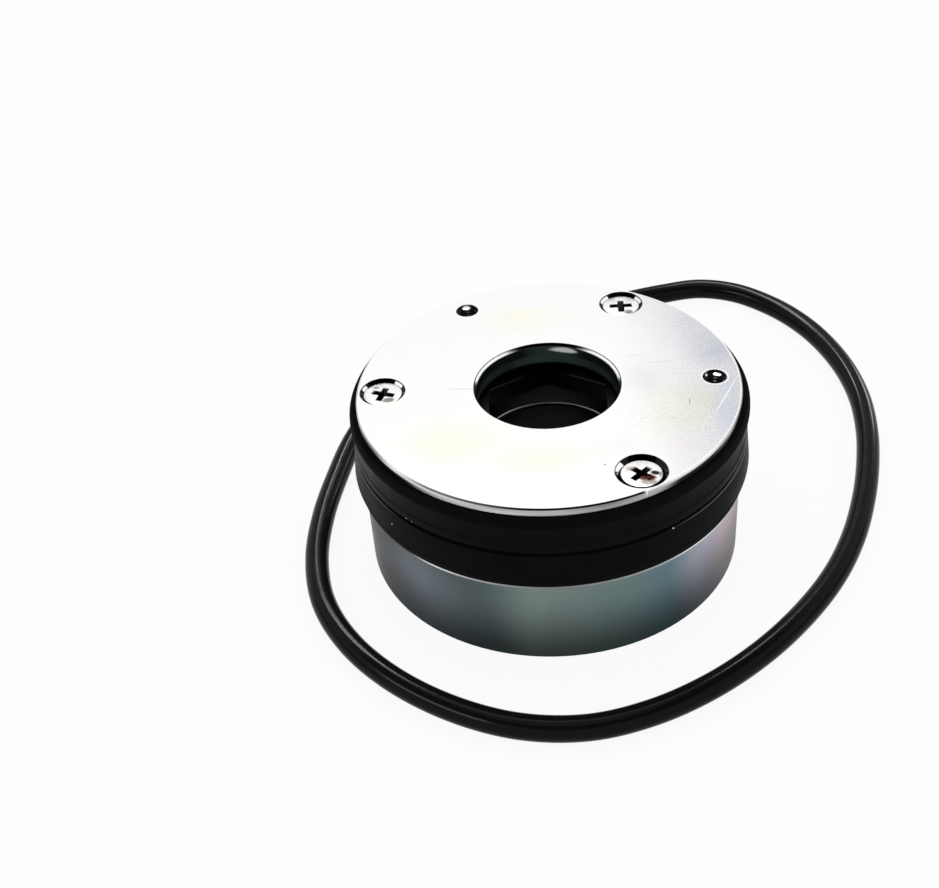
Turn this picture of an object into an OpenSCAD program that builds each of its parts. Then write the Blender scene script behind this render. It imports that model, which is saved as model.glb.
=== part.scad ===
// Spring-applied electromagnetic brake for a small motor.
// A magnet body holds a ring coil and six torque springs. The springs press an
// armature plate and a rotor with two friction linings against the end plate.
// Three countersunk screws hold the end plate over spacer sleeves, and a rubber
// ring covers the gap. The origin is the centre of the magnet body's back face,
// and Z is the shaft axis.

/* [Magnet body] */
// Diameter of the bore through the magnet body and the end plate
bore_d = 26; // [22:0.5:27]
// Width of the inner pole, from the bore out to the coil groove
pole_w = 7.5; // [6.8:0.1:8.5]
// Width of the coil groove
groove_w = 6.7; // [5.6:0.1:8]
// Width of the outer pole, from the coil groove out to the seat of the cover ring
outer_w = 7.2; // [7:0.1:8]
// Step from that seat out to the magnet body's outside
seat_step = 1.2; // [0.9:0.1:1.6]
// Height from the back face to the pole faces
body_h = 20.6; // [19:0.2:26]
// Thickness of the closed back behind the coil groove
back_t = 4.8; // [3.6:0.2:5]
// Chamfer at both ends of the bore in the magnet body
bore_edge = 0.5; // [0.2:0.1:0.8]
// Chamfer on the rim of the back face
back_edge = 0.3; // [0.1:0.1:0.8]
// Chamfer on the rim of the shoulder under the ring
shoulder_edge = 0.5; // [0.2:0.1:0.8]

/* [Cover ring] */
// Height of the seat on the magnet body
seat_h = 2.3; // [1.6:0.1:3]
// Height of the seat on the end plate
rebate_h = 2.95; // [2.4:0.05:3.4]
// Wall of the ring at its waist
ring_wall = 2; // [1.6:0.1:2.6]
// How far the lower band stands out from the waist, at its widest
band_out = 0.7; // [0.6:0.05:1]
// How much the lower band narrows up to its top
band_draft = 0.5; // [0.2:0.05:0.55]
// Height of the lower band
band_h = 6.95; // [5:0.05:8]
// How far the bead at the top stands out from the waist
bead_out = 0.35; // [0.2:0.05:0.6]
// Height of the bead at the top
bead_h = 1.75; // [1.4:0.05:2.4]
// How far the fine bead stands out from the waist
fine_out = 0.1; // [0.05:0.05:0.3]
// Height of the fine bead above the groove
fine_h = 1.45; // [1:0.05:1.8]
// Depth of the groove over the lower band, from the waist in
groove_depth = 0.3; // [0.1:0.05:0.5]

/* [Armature plate] */
// Air gap to the pole faces when the coil has no power
air_gap = 0.3; // [0.2:0.05:0.5]
// Thickness of the armature plate
armature_t = 4; // [3:0.2:5]
// Wall by which its bore stands back from the bore of the magnet body
armature_step = 0.3; // [0:0.1:1]

/* [Rotor] */
// Width of the hexagon bore across its flats
hex_af = 22; // [18:0.5:23]
// Wall of the hub boss at the hexagon's corners
boss_wall = 2.6; // [2:0.1:3.4]
// Height of the hub boss
boss_t = 3.8; // [3:0.1:4.6]
// Thickness of the carrier web
web_t = 2.2; // [1.6:0.1:2.6]
// Thickness of each friction lining
lining_t = 1.5; // [1:0.1:2.2]
// Step from the hub boss out to the linings
lining_step = 2.2; // [1:0.1:4]

/* [End plate] */
// Step from the magnet body's outside in to the plate's rim
plate_step = 0.35; // [0.2:0.05:0.8]
// Thickness of the end plate
plate_t = 4.5; // [4.2:0.1:6]
// Chamfer at the mouth of its bore
mouth_edge = 0.6; // [0.3:0.1:0.9]
// Chamfer on its rim
rim_edge = 0.2; // [0.1:0.05:0.8]
// Diameter of the two tapped fixing holes
fixing_d = 3.3; // [2.5:0.1:3.5]
// Chamfer at the mouth of the fixing holes
fixing_edge = 0.75; // [0.4:0.05:0.9]
// Distance from the plate's rim in to the axes of the fixing holes
fixing_inset = 4.75; // [4:0.05:6]

/* [Screws and sleeves] */
// Diameter of the screw thread
screw_d = 4; // [3:0.5:4]
// Length of a screw with its head
screw_len = 20; // [18:1:22]
// Diameter of a screw head
head_d = 7.2; // [7:0.1:7.6]
// Depth of the head's edge below the plate's face
head_sink = 0.7; // [0.4:0.05:0.9]
// Wall of the spacer sleeves
sleeve_wall = 1.05; // [0.8:0.05:1.2]
// Gap from the spacer sleeves out to the cover ring
sleeve_inset = 0.8; // [0.5:0.1:1]

/* [Torque springs] */
// Outer diameter of a spring
spring_d = 3.8; // [3:0.1:4]
// Diameter of the spring wire
spring_wire = 0.5; // [0.4:0.05:0.6]
// Turns of a spring
spring_turns = 8; // [6:1:9]
// Depth of the spring pockets
pocket_depth = 11; // [8:0.5:13]

/* [Coil] */
// Wall of the bobbin
bobbin_wall = 0.8; // [0.6:0.1:1.2]
// Thickness of the potting resin over the bobbin
resin_t = 3.7; // [2:0.1:5]
// Depth of the resin's face below the pole faces
resin_recess = 0.3; // [0.2:0.1:0.8]

/* [Lead] */
// Diameter of the lead
lead_d = 4.6; // [4:0.1:5]
// Height of the lead's axis where it leaves the magnet body
exit_z = 8.5; // [8.4:0.1:9.2]
// Wall of the grommet in the magnet body
grommet_wall = 1.05; // [0.8:0.05:1.1]
// How far the grommet's flange stands out round its hole
flange_out = 1.2; // [0.8:0.1:1.6]
// Thickness of the grommet's flange
flange_t = 1.2; // [0.8:0.1:2]
// Length of the grommet outside the wall
grommet_out = 8.4; // [6:0.2:10]
// Diameter of one insulated core
core_d = 1.3; // [1:0.1:1.3]

/* [Hidden] */

$fn = 96;
fine_fn = 32;
eps = 0.01;

// Fits
seat_gap = 0.02;
thread_gap = 0.04;
sleeve_gap = 0.15;
notch_gap = 0.2;
rim_gap = 1;
rotor_gap = 0.7;
lining_edge = 0.2;
pocket_gap = 0.25;
bobbin_gap = 0.2;
lead_gap = 0.05;

// Angles round the axis
screw_angles = [60, 180, 300];
fixing_angles = [0, 120];
recess_turns = [0, 72, 45];
spring_angles = [for (i = [0 : 5]) 60 * i];
exit_angle = 90;

// Heights of the stack, from the back face up
pole_z = body_h;
armature_z = pole_z + air_gap;
rotor_z = armature_z + armature_t;
web_z = rotor_z + lining_t;
front_z = web_z + web_t;
plate_z = front_z + lining_t;
top_z = plate_z + plate_t;
ring_z = pole_z - seat_h;
ring_top = plate_z + rebate_h;

// Radii
bore_r = bore_d / 2;
groove_in = bore_r + pole_w;
groove_out = groove_in + groove_w;
seat_r = groove_out + outer_w;
body_r = seat_r + seat_step;
plate_r = body_r - plate_step;
waist_r = seat_r + ring_wall;
spring_r = bore_r + pole_w / 2;
sleeve_in = screw_d / 2 + sleeve_gap;
sleeve_r = sleeve_in + sleeve_wall;
screw_r = seat_r - sleeve_inset - sleeve_r;
fixing_r = plate_r - fixing_inset;
armature_r = seat_r - rim_gap;
web_r = screw_r - sleeve_r - rotor_gap;
lining_r = web_r - lining_edge;
hex_r = hex_af / 2 / cos(30);
boss_r = hex_r + boss_wall;

// Screws
head_rim = 0.15;
head_z = top_z - head_sink + head_rim + seat_gap;
head_cone = (head_d - screw_d) / 2;
sink_r = head_d / 2 + head_sink;
tip_room = 2;
recess_len = 4.4;
recess_w = 0.95;
recess_depth = 1.1;

// Coil
bobbin_r = groove_in + bobbin_gap;
bobbin_out = groove_out - bobbin_gap;
bobbin_top = pole_z - resin_recess - resin_t;
winding_r = bobbin_r + bobbin_wall;
winding_inset = 0.6;
winding_out = bobbin_out - winding_inset;
tail_r = 0.4;
tail_x = 0.8;

// Grommet
grommet_bore_r = lead_d / 2 + lead_gap;
grommet_r = grommet_bore_r + grommet_wall;
wall_hole_r = grommet_r + lead_gap;
grommet_inset = 0.8;
neck_wall = 0.6;
shoulder_wall = 1.6;

// Ferrules
ferrule_len = 6;
collar_len = 3;
collar_wall = 0.1;

// Route of the lead's axis, from inside the wall to the end of its sheath
lead_route = [
    [0, 29, 8.5], [0, 36, 8.5], [0, 44, 8.5], [0.5, 51, 8.1], [2.5, 58.5, 7],
    [6.5, 66, 5.4], [12.5, 72.5, 3.9], [20, 77.5, 2.8], [28.5, 80.6, 2.4],
    [37.4, 82.1, 2.4], [45.6, 79.7, 2.4], [52.4, 74.2, 2.4], [58, 67, 2.4],
    [62.4, 58, 2.4], [65.5, 47, 2.4], [66.7, 35.5, 2.4], [66, 24, 2.4],
    [64, 13, 2.4], [61, 2, 2.4], [56.8, -9.2, 2.4], [51.3, -19.6, 2.4],
    [44.2, -29.2, 2.4], [35.7, -38, 2.4], [26, -45.5, 2.4], [15.5, -51, 2.4],
    [4.5, -53.9, 2.4], [-7, -53.2, 2.4], [-18.2, -49, 2.4], [-28.7, -42, 2.4],
    [-37.4, -32.8, 2.4], [-43.4, -21.8, 2.4], [-46, -9.5, 2.4], [-46, 3.1, 2.4],
    [-44.4, 15.5, 2.4], [-41.9, 28, 2.4], [-37.2, 40, 2.4], [-28.9, 50.6, 2.4],
    [-17, 59, 2.4]];
// Routes of the two cores' axes, from the sheath to their ferrules
red_route = [[-17.1, 59.8, 2.4], [-15.3, 62.4, 2], [-13.5, 65.6, 1.3], [-12.3, 69, 0.9],
    [-12, 71.5, 0.9]];
black_route = [[-16.3, 58.6, 2.4], [-13.8, 61, 2], [-10.6, 63.2, 1.3], [-7, 65.2, 0.9],
    [-4, 67, 0.9]];

// Smooth curve through the points p, with n steps between neighbours
function curve_point(a, b, c, d, t) = 0.5 * (2 * b + (c - a) * t
    + (2 * a - 5 * b + 4 * c - d) * t * t + (3 * b - a - 3 * c + d) * t * t * t);
function smooth(p, n) = [for (i = [0 : len(p) - 2], k = [0 : n - 1])
    curve_point(p[max(i - 1, 0)], p[i], p[i + 1], p[min(i + 2, len(p) - 1)], k / n),
    p[len(p) - 1]];
function unit(v) = v / norm(v);
function direction(p, i) = unit(p[min(i + 1, len(p) - 1)] - p[max(i - 1, 0)]);

// Round tube of radius r along the points p
module tube(p, r, sides) {
    rings = [for (i = [0 : len(p) - 1])
        let (t = direction(p, i), across = unit(cross(t, [0, 0, 1])), up = cross(across, t))
        for (k = [0 : sides - 1])
            p[i] + r * (cos(360 * k / sides) * up + sin(360 * k / sides) * across)];
    walls = [for (i = [0 : len(p) - 2], k = [0 : sides - 1])
        let (a = i * sides + k, b = i * sides + (k + 1) % sides)
        each [[a, b, b + sides], [a, b + sides, a + sides]]];
    start = [[for (k = [0 : sides - 1]) sides - 1 - k]];
    finish = [[for (k = [0 : sides - 1]) (len(p) - 1) * sides + k]];
    polyhedron(points = rings, faces = concat(walls, start, finish), convexity = 10);
}

// Copies round the axis at the listed angles, on a circle of radius r
module around(angles, r) {
    for (a = angles) rotate(a) translate([r, 0, 0]) children();
}

// Cylinder that passes both faces of what it cuts
module hole(z, h, r) {
    translate([0, 0, z - eps]) cylinder(h = h + 2 * eps, r = r);
}

// Half of a bead's section, from the seat out, with round corners
module bead(low, high, out, edge) {
    translate([seat_r, low]) square([out - edge - seat_r, high - low]);
    translate([seat_r, low + edge]) square([out - seat_r, high - low - 2 * edge]);
    for (z = [low + edge, high - edge])
        translate([out - edge, z]) circle(r = edge, $fn = fine_fn);
}

module magnet_body() {
    thread_z = head_z - screw_len - tip_room;
    color([0.66, 0.70, 0.72]) difference() {
        rotate_extrude() polygon([
            [bore_r + bore_edge, 0],
            [body_r - back_edge, 0],
            [body_r, back_edge],
            [body_r, ring_z - shoulder_edge],
            [body_r - shoulder_edge, ring_z],
            [seat_r, ring_z],
            [seat_r, pole_z],
            [groove_out, pole_z],
            [groove_out, back_t],
            [groove_in, back_t],
            [groove_in, pole_z],
            [bore_r + bore_edge, pole_z],
            [bore_r, pole_z - bore_edge],
            [bore_r, bore_edge]]);
        around(spring_angles, spring_r) translate([0, 0, pole_z - pocket_depth])
            cylinder(h = pocket_depth + eps, r = spring_d / 2 + pocket_gap);
        around(screw_angles, screw_r) translate([0, 0, thread_z])
            cylinder(h = pole_z - thread_z + eps, r = screw_d / 2 + thread_gap);
        rotate(exit_angle) translate([bobbin_r, 0, exit_z]) rotate([0, 90, 0])
            cylinder(h = body_r - groove_in, r = wall_hole_r);
    }
}

module coil_bobbin() {
    color([0.90, 0.88, 0.80]) rotate_extrude() polygon([
        [bobbin_r, back_t],
        [bobbin_out, back_t],
        [bobbin_out, back_t + bobbin_wall],
        [winding_r, back_t + bobbin_wall],
        [winding_r, bobbin_top - bobbin_wall],
        [bobbin_out, bobbin_top - bobbin_wall],
        [bobbin_out, bobbin_top],
        [bobbin_r, bobbin_top]]);
}

module coil_winding() {
    edge = 0.5;
    low = back_t + bobbin_wall;
    high = bobbin_top - bobbin_wall;
    color([0.72, 0.36, 0.16]) rotate_extrude() polygon([
        [winding_r, low],
        [winding_out - edge, low],
        [winding_out, low + edge],
        [winding_out, high - edge],
        [winding_out - edge, high],
        [winding_r, high]]);
}

module potting_resin() {
    color([0.10, 0.10, 0.11]) rotate_extrude() polygon([
        [groove_in, bobbin_top],
        [groove_out, bobbin_top],
        [groove_out, pole_z - resin_recess],
        [groove_in, pole_z - resin_recess]]);
}

// The two tails from the winding to the lead's end inside the wall
module coil_leads() {
    color([0.80, 0.45, 0.20]) for (side = [-1, 1])
        rotate(exit_angle) translate([winding_out, side * tail_x, exit_z]) rotate([0, 90, 0])
            cylinder(h = lead_route[0][1] - winding_out, r = tail_r, $fn = fine_fn);
}

module lead_grommet() {
    start = groove_out + grommet_inset;
    flange_r = wall_hole_r + flange_out;
    color([0.07, 0.07, 0.07]) rotate(exit_angle) translate([0, 0, exit_z]) rotate([0, 90, 0])
        rotate_extrude() polygon([
            [grommet_bore_r, start],
            [grommet_r, start],
            [grommet_r, body_r],
            [flange_r, body_r],
            [flange_r, body_r + flange_t],
            [grommet_bore_r + shoulder_wall, body_r + flange_t],
            [grommet_bore_r + neck_wall, body_r + grommet_out],
            [grommet_bore_r, body_r + grommet_out]]);
}

module lead_cable() {
    color([0.05, 0.05, 0.06]) tube(smooth(lead_route, 2), lead_d / 2, 12);
}

module lead_core(route, shade) {
    color(shade) tube(smooth(route, 2), core_d / 2, 8);
}

// A collar and a crimped tube on the end of each core
module core_ferrules() {
    for (route = [red_route, black_route]) {
        last = len(route) - 1;
        heading = direction(route, last);
        color([0.80, 0.80, 0.78]) translate(route[last])
            rotate([0, 90, atan2(heading[1], heading[0])]) {
                cylinder(h = collar_len, r = core_d / 2 + collar_wall, $fn = fine_fn);
                translate([0, 0, collar_len])
                    cylinder(h = ferrule_len, r = core_d / 2 - collar_wall, $fn = fine_fn);
            }
    }
}

// The end turns are closed, and the turns between them share the rest of the height
module torque_spring(number) {
    coil_r = (spring_d - spring_wire) / 2;
    low = pole_z - pocket_depth + spring_wire / 2 + seat_gap;
    high = armature_z - spring_wire / 2 - seat_gap;
    closed = spring_wire + seat_gap;
    steps = 12;
    heights = [[0, low], [1, low + closed], [spring_turns - 1, high - closed],
        [spring_turns, high]];
    path = [for (i = [0 : spring_turns * steps]) [
        coil_r * cos(360 * i / steps),
        coil_r * sin(360 * i / steps),
        lookup(i / steps, heights)]];
    color([0.62, 0.62, 0.60]) rotate(spring_angles[number - 1])
        translate([spring_r, 0, 0]) tube(path, spring_wire / 2, 6);
}

// Disc with a notch, open outwards, round each sleeve
module armature_plate() {
    notch_r = sleeve_r + notch_gap;
    color([0.58, 0.60, 0.61]) difference() {
        translate([0, 0, armature_z]) cylinder(h = armature_t, r = armature_r);
        hole(armature_z, armature_t, bore_r + armature_step);
        around(screw_angles, screw_r) {
            hole(armature_z, armature_t, notch_r);
            translate([0, -notch_r, armature_z - eps])
                cube([seat_r, 2 * notch_r, armature_t + 2 * eps]);
        }
    }
}

module rotor_carrier() {
    boss_z = web_z + (web_t - boss_t) / 2;
    color([0.52, 0.53, 0.55]) difference() {
        union() {
            translate([0, 0, web_z]) cylinder(h = web_t, r = web_r);
            translate([0, 0, boss_z]) cylinder(h = boss_t, r = boss_r);
        }
        translate([0, 0, boss_z - eps]) rotate(30)
            cylinder(h = boss_t + 2 * eps, r = hex_r, $fn = 6);
    }
}

module friction_lining(z) {
    color([0.30, 0.27, 0.22]) difference() {
        translate([0, 0, z]) cylinder(h = lining_t, r = lining_r);
        hole(z, lining_t, boss_r + lining_step);
    }
}

module spacer_sleeve(number) {
    sleeve_h = plate_z - pole_z;
    color([0.70, 0.71, 0.72]) rotate(screw_angles[number - 1])
        translate([screw_r, 0, 0]) difference() {
            translate([0, 0, pole_z]) cylinder(h = sleeve_h, r = sleeve_r);
            hole(pole_z, sleeve_h, sleeve_in);
        }
}

module end_plate() {
    sink_h = sink_r - sleeve_in;
    fixing_hole_r = fixing_d / 2;
    color([0.86, 0.87, 0.86]) difference() {
        rotate_extrude() polygon([
            [bore_r, plate_z],
            [seat_r, plate_z],
            [seat_r, ring_top],
            [plate_r, ring_top],
            [plate_r, top_z - rim_edge],
            [plate_r - rim_edge, top_z],
            [bore_r + mouth_edge, top_z],
            [bore_r, top_z - mouth_edge]]);
        around(screw_angles, screw_r) {
            hole(plate_z, plate_t, sleeve_in);
            translate([0, 0, top_z - sink_h])
                cylinder(h = sink_h + eps, r1 = sleeve_in, r2 = sink_r + eps);
        }
        around(fixing_angles, fixing_r) {
            hole(plate_z, plate_t, fixing_hole_r);
            translate([0, 0, top_z - fixing_edge])
                cylinder(h = fixing_edge + eps, r1 = fixing_hole_r,
                    r2 = fixing_hole_r + fixing_edge + eps);
        }
    }
}

// Its axis is Z, with the top of the head at the origin
module countersunk_screw(recess_turn) {
    difference() {
        union() {
            translate([0, 0, -head_rim]) cylinder(h = head_rim, d = head_d);
            translate([0, 0, -head_rim - head_cone])
                cylinder(h = head_cone, d1 = screw_d, d2 = head_d);
            translate([0, 0, -screw_len]) cylinder(h = screw_len - head_rim, d = screw_d);
        }
        rotate(recess_turn) translate([0, 0, -recess_depth]) for (a = [0, 90]) rotate(a)
            translate([-recess_len / 2, -recess_w / 2, 0])
                cube([recess_len, recess_w, recess_depth + eps]);
    }
}

module plate_screws() {
    color([0.78, 0.78, 0.76]) for (i = [0 : len(screw_angles) - 1])
        rotate(screw_angles[i]) translate([screw_r, 0, head_z])
            countersunk_screw(recess_turns[i] - screw_angles[i]);
}

// Straight inside. Outside, from the top down: a bead, the waist, a fine bead, a groove,
// and a lower band that widens downwards and draws in at its foot
module cover_ring() {
    band_r = waist_r + band_out;
    band_top = ring_z + band_h;
    groove_r = waist_r - groove_depth;
    groove_h = 0.7;
    foot_in = 0.5;
    foot_h = 1.7;
    fine_z = band_top + groove_h;
    color([0.06, 0.06, 0.07]) rotate_extrude() {
        translate([seat_r, ring_z]) square([groove_r - seat_r, ring_top - ring_z]);
        translate([seat_r, fine_z]) square([ring_wall, ring_top - fine_z]);
        bead(ring_top - bead_h, ring_top, waist_r + bead_out, 0.45);
        bead(fine_z, fine_z + fine_h, waist_r + fine_out, 0.1);
        polygon([
            [seat_r, ring_z],
            [band_r - foot_in, ring_z],
            [band_r, ring_z + foot_h],
            [band_r - band_draft, band_top],
            [seat_r, band_top]]);
    }
}

magnet_body();
coil_bobbin();
coil_winding();
potting_resin();
coil_leads();
lead_grommet();
lead_cable();
lead_core(red_route, [0.65, 0.08, 0.06]);  // lead_core_red
lead_core(black_route, [0.05, 0.05, 0.05]);  // lead_core_black
core_ferrules();
torque_spring(1);  // torque_spring_1
torque_spring(2);  // torque_spring_2
torque_spring(3);  // torque_spring_3
torque_spring(4);  // torque_spring_4
torque_spring(5);  // torque_spring_5
torque_spring(6);  // torque_spring_6
armature_plate();
rotor_carrier();
friction_lining(front_z);  // lining_front
friction_lining(rotor_z);  // lining_rear
spacer_sleeve(1);  // spacer_sleeve_1
spacer_sleeve(2);  // spacer_sleeve_2
spacer_sleeve(3);  // spacer_sleeve_3
end_plate();
plate_screws();
cover_ring();
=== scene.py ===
import math
import bmesh
import bpy
from bpy.props import FloatProperty, FloatVectorProperty, IntProperty, PointerProperty
from bpy.types import Operator, Panel, PropertyGroup
from mathutils import Euler, Matrix, Vector


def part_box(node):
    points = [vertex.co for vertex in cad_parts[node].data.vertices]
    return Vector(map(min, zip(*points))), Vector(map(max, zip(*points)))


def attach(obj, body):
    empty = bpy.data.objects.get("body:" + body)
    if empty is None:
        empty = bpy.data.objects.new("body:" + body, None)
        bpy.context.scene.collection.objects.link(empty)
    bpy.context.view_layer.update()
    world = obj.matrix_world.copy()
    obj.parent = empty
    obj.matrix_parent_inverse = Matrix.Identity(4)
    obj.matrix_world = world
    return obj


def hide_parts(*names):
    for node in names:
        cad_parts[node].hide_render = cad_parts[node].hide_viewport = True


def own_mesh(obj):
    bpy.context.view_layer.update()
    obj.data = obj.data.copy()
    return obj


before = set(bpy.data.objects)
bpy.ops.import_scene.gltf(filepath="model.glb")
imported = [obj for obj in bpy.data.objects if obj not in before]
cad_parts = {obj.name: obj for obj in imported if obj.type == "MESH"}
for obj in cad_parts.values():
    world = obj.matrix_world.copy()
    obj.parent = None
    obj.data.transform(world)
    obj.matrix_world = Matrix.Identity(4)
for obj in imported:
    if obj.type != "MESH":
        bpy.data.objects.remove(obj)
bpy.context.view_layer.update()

bl_info = {
    "name": "Motor Brake Dressing",
    "version": (1, 0, 0),
    "blender": (4, 5, 0),
    "location": "View3D > Sidebar > Brake",
    "description": "Details and finishes of a spring-applied electromagnetic motor brake",
    "category": "Object",
}

MM = 0.001

# Heights and radii that model.glb gives, in metres
PLATE_LOW, PLATE_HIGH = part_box("end_plate")
PLATE_Z = PLATE_LOW.z
TOP_Z = PLATE_HIGH.z
PLATE_R = PLATE_HIGH.x
BODY_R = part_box("magnet_body")[1].x
RING_LOW, RING_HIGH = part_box("cover_ring")
SCREW_LOW, SCREW_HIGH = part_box("plate_screws")
CARRIER_LOW, CARRIER_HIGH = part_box("rotor_carrier")
ARMATURE_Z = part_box("armature_plate")[0].z
SPRING_LOW, SPRING_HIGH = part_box("torque_spring_1")
WINDING_LOW, WINDING_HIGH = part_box("coil_winding")
GROMMET_LOW, GROMMET_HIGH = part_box("lead_grommet")

# Places that model.glb does not give
BORE_R = 13 * MM
SEAT_R = 34.4 * MM
SCREW_R = 30.4 * MM
FIXING_R = 30.5 * MM
SCREW_ANGLES = [60, 180, 300]
RECESS_TURNS = [0, 72, 45]
FIXING_ANGLES = [0, 120]
SPRING_R = 16.75 * MM
SPRING_ANGLES = [0, 60, 120, 180, 240, 300]
SPRING_SEAT_Z = 9.6 * MM
HEXAGON_AF = 22 * MM
EXIT_Z = 8.5 * MM
WIDE_SINK = 300          # angle of the screw whose countersink is the widest

# Sizes of the stage, in metres
FLOOR_R = 4
LAMP_AWAY = 0.8
TENT_R = 1.2

# Lower edge of the black tent, and its openings as azimuth, elevation and half sizes, in degrees
TENT_FOOT = 4
TENT_OPENINGS = [
    (-2, 38, 25, 16), (-90, 27, 26, 14), (90, 28, 28, 16), (-48, 27, 17, 23), (45, 27, 17, 23),
    (-2, 8, 26, 4), (-135, 21, 28, 17), (135, 21, 28, 17), (180, 20, 17, 16), (0, 90, 181, 21)]

# Route of the lead's axis, from inside the wall to the end of its sheath, in mm
LEAD_ROUTE = [
    (0, 29, 8.5), (0, 36, 8.5), (0, 44, 8.5), (0.5, 51, 8.1), (2.5, 58.5, 7),
    (6.5, 66, 5.4), (12.5, 72.5, 3.9), (20, 77.5, 2.8), (28.5, 80.6, 2.4),
    (37.4, 82.1, 2.4), (45.6, 79.7, 2.4), (52.4, 74.2, 2.4), (58, 67, 2.4),
    (62.4, 58, 2.4), (65.5, 47, 2.4), (66.7, 35.5, 2.4), (66, 24, 2.4),
    (64, 13, 2.4), (61, 2, 2.4), (56.8, -9.2, 2.4), (51.3, -19.6, 2.4),
    (44.2, -29.2, 2.4), (35.7, -38, 2.4), (26, -45.5, 2.4), (15.5, -51, 2.4),
    (4.5, -53.9, 2.4), (-7, -53.2, 2.4), (-18.2, -49, 2.4), (-28.7, -42, 2.4),
    (-37.4, -32.8, 2.4), (-43.4, -21.8, 2.4), (-46, -9.5, 2.4), (-46, 3.1, 2.4),
    (-44.4, 15.5, 2.4), (-41.9, 28, 2.4), (-37.2, 40, 2.4), (-28.9, 50.6, 2.4),
    (-17, 59, 2.4)]
# Routes of the two cores' axes, from the sheath to their ferrules, in mm
RED_ROUTE = [(-17.1, 59.8, 2.4), (-15.3, 62.4, 2), (-13.5, 65.6, 1.3), (-12.3, 69, 0.9),
             (-12, 71.5, 0.9)]
BLACK_ROUTE = [(-16.3, 58.6, 2.4), (-13.8, 61, 2), (-10.6, 63.2, 1.3), (-7, 65.2, 0.9),
               (-4, 67, 0.9)]


class BrakeSizes(PropertyGroup):
    """Sizes of the lead, the screws, the springs and the winding"""

    lead_d: FloatProperty(
        name="Lead Diameter", description="Outer diameter of the lead's sheath",
        default=4.6 * MM, min=3 * MM, max=6 * MM, unit="LENGTH")
    lead_length: FloatProperty(
        name="Lead Length", description="Length of the sheath, with the part inside the wall",
        default=0.405, min=0.1, max=1, unit="LENGTH")
    core_d: FloatProperty(
        name="Core Diameter", description="Outer diameter of one insulated core",
        default=1.3 * MM, min=0.8 * MM, max=2 * MM, unit="LENGTH")
    thread_pitch: FloatProperty(
        name="Thread Pitch", description="Pitch of the screws and the tapped holes",
        default=0.7 * MM, min=0.5 * MM, max=1 * MM, unit="LENGTH")
    thread_d: FloatProperty(
        name="Thread Diameter", description="Outer diameter of that thread",
        default=4 * MM, min=3 * MM, max=4 * MM, unit="LENGTH")
    head_d: FloatProperty(
        name="Head Diameter", description="Diameter of a screw head",
        default=7.2 * MM, min=6 * MM, max=8 * MM, unit="LENGTH")
    recess_depth: FloatProperty(
        name="Recess Depth", description="Depth of the cross recess in a screw head",
        default=1.9 * MM, min=1 * MM, max=2.4 * MM, unit="LENGTH")
    spring_wire: FloatProperty(
        name="Spring Wire", description="Diameter of the torque springs' wire",
        default=0.5 * MM, min=0.3 * MM, max=0.7 * MM, unit="LENGTH")
    spring_turns: IntProperty(
        name="Spring Turns", description="Turns of a torque spring",
        default=8, min=5, max=10)
    winding_wire: FloatProperty(
        name="Winding Wire", description="Diameter of the coil's enamelled wire",
        default=0.3 * MM, min=0.2 * MM, max=0.6 * MM, unit="LENGTH")


class BrakeFinish(PropertyGroup):
    """Colours of the pieces"""

    plate: FloatVectorProperty(
        name="End Plate", description="Bright zinc of the end plate", subtype="COLOR",
        default=(0.99, 0.99, 0.975), min=0, max=1)
    # Painted shade: the bluish grey that the plate turns towards its right side
    plate_shade: FloatVectorProperty(
        name="End Plate Shade", description="Bluish zinc towards the plate's right side",
        subtype="COLOR", default=(0.68, 0.69, 0.73), min=0, max=1)
    body: FloatVectorProperty(
        name="Magnet Body", description="Passivated zinc of the magnet body", subtype="COLOR",
        default=(0.20, 0.245, 0.245), min=0, max=1)
    screw: FloatVectorProperty(
        name="Screws", description="Zinc of the screw heads", subtype="COLOR",
        default=(0.97, 0.97, 0.96), min=0, max=1)
    rubber: FloatVectorProperty(
        name="Cover Ring", description="Rubber of the cover ring", subtype="COLOR",
        default=(0.0017, 0.0019, 0.002), min=0, max=1)
    sheath: FloatVectorProperty(
        name="Lead Sheath", description="Plastic of the lead's sheath", subtype="COLOR",
        default=(0.003, 0.0035, 0.0035), min=0, max=1)
    steel: FloatVectorProperty(
        name="Bare Steel", description="Ground steel of the spacer sleeves",
        subtype="COLOR", default=(0.20, 0.20, 0.20), min=0, max=1)
    # Painted shade: the armature plate's steel is made near black, as it is seen only deep in the
    # bore
    armature: FloatVectorProperty(
        name="Armature Plate", description="Blackened steel of the armature plate",
        subtype="COLOR", default=(0.025, 0.025, 0.027), min=0, max=1)
    lining: FloatVectorProperty(
        name="Friction Lining", description="Ground friction compound", subtype="COLOR",
        default=(0.16, 0.145, 0.12), min=0, max=1)
    copper: FloatVectorProperty(
        name="Winding", description="Enamelled copper wire", subtype="COLOR",
        default=(0.58, 0.20, 0.07), min=0, max=1)


class BrakeStage(PropertyGroup):
    """Floor, light and lens"""

    floor: FloatVectorProperty(
        name="Floor", description="Colour of the pale floor", subtype="COLOR",
        default=(0.90, 0.90, 0.90), min=0, max=1)
    fill: FloatProperty(
        name="Fill", description="Strength of the soft light from all round",
        default=0.8, min=0, max=2)
    key: FloatProperty(
        name="Key", description="Power of the soft box high behind the brake",
        default=1.2, min=0, max=10, unit="POWER")
    gleam: FloatProperty(
        name="Gleam", description="Radiance of the lights that draw lines on the black pieces",
        default=100, min=0, max=400)
    lens: FloatProperty(
        name="Lens", description="Focal length of the camera", default=53.37,
        min=20, max=200, subtype="DISTANCE_CAMERA")


def turned(x, y, z, angle):
    """A point, turned round the Z axis by an angle in degrees."""
    return Matrix.Rotation(math.radians(angle), 3, "Z") @ Vector((x, y, z))


# Meshes

SHARP = math.radians(32)
MERGE = 1e-7             # points nearer than this, in metres, become one


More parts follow.
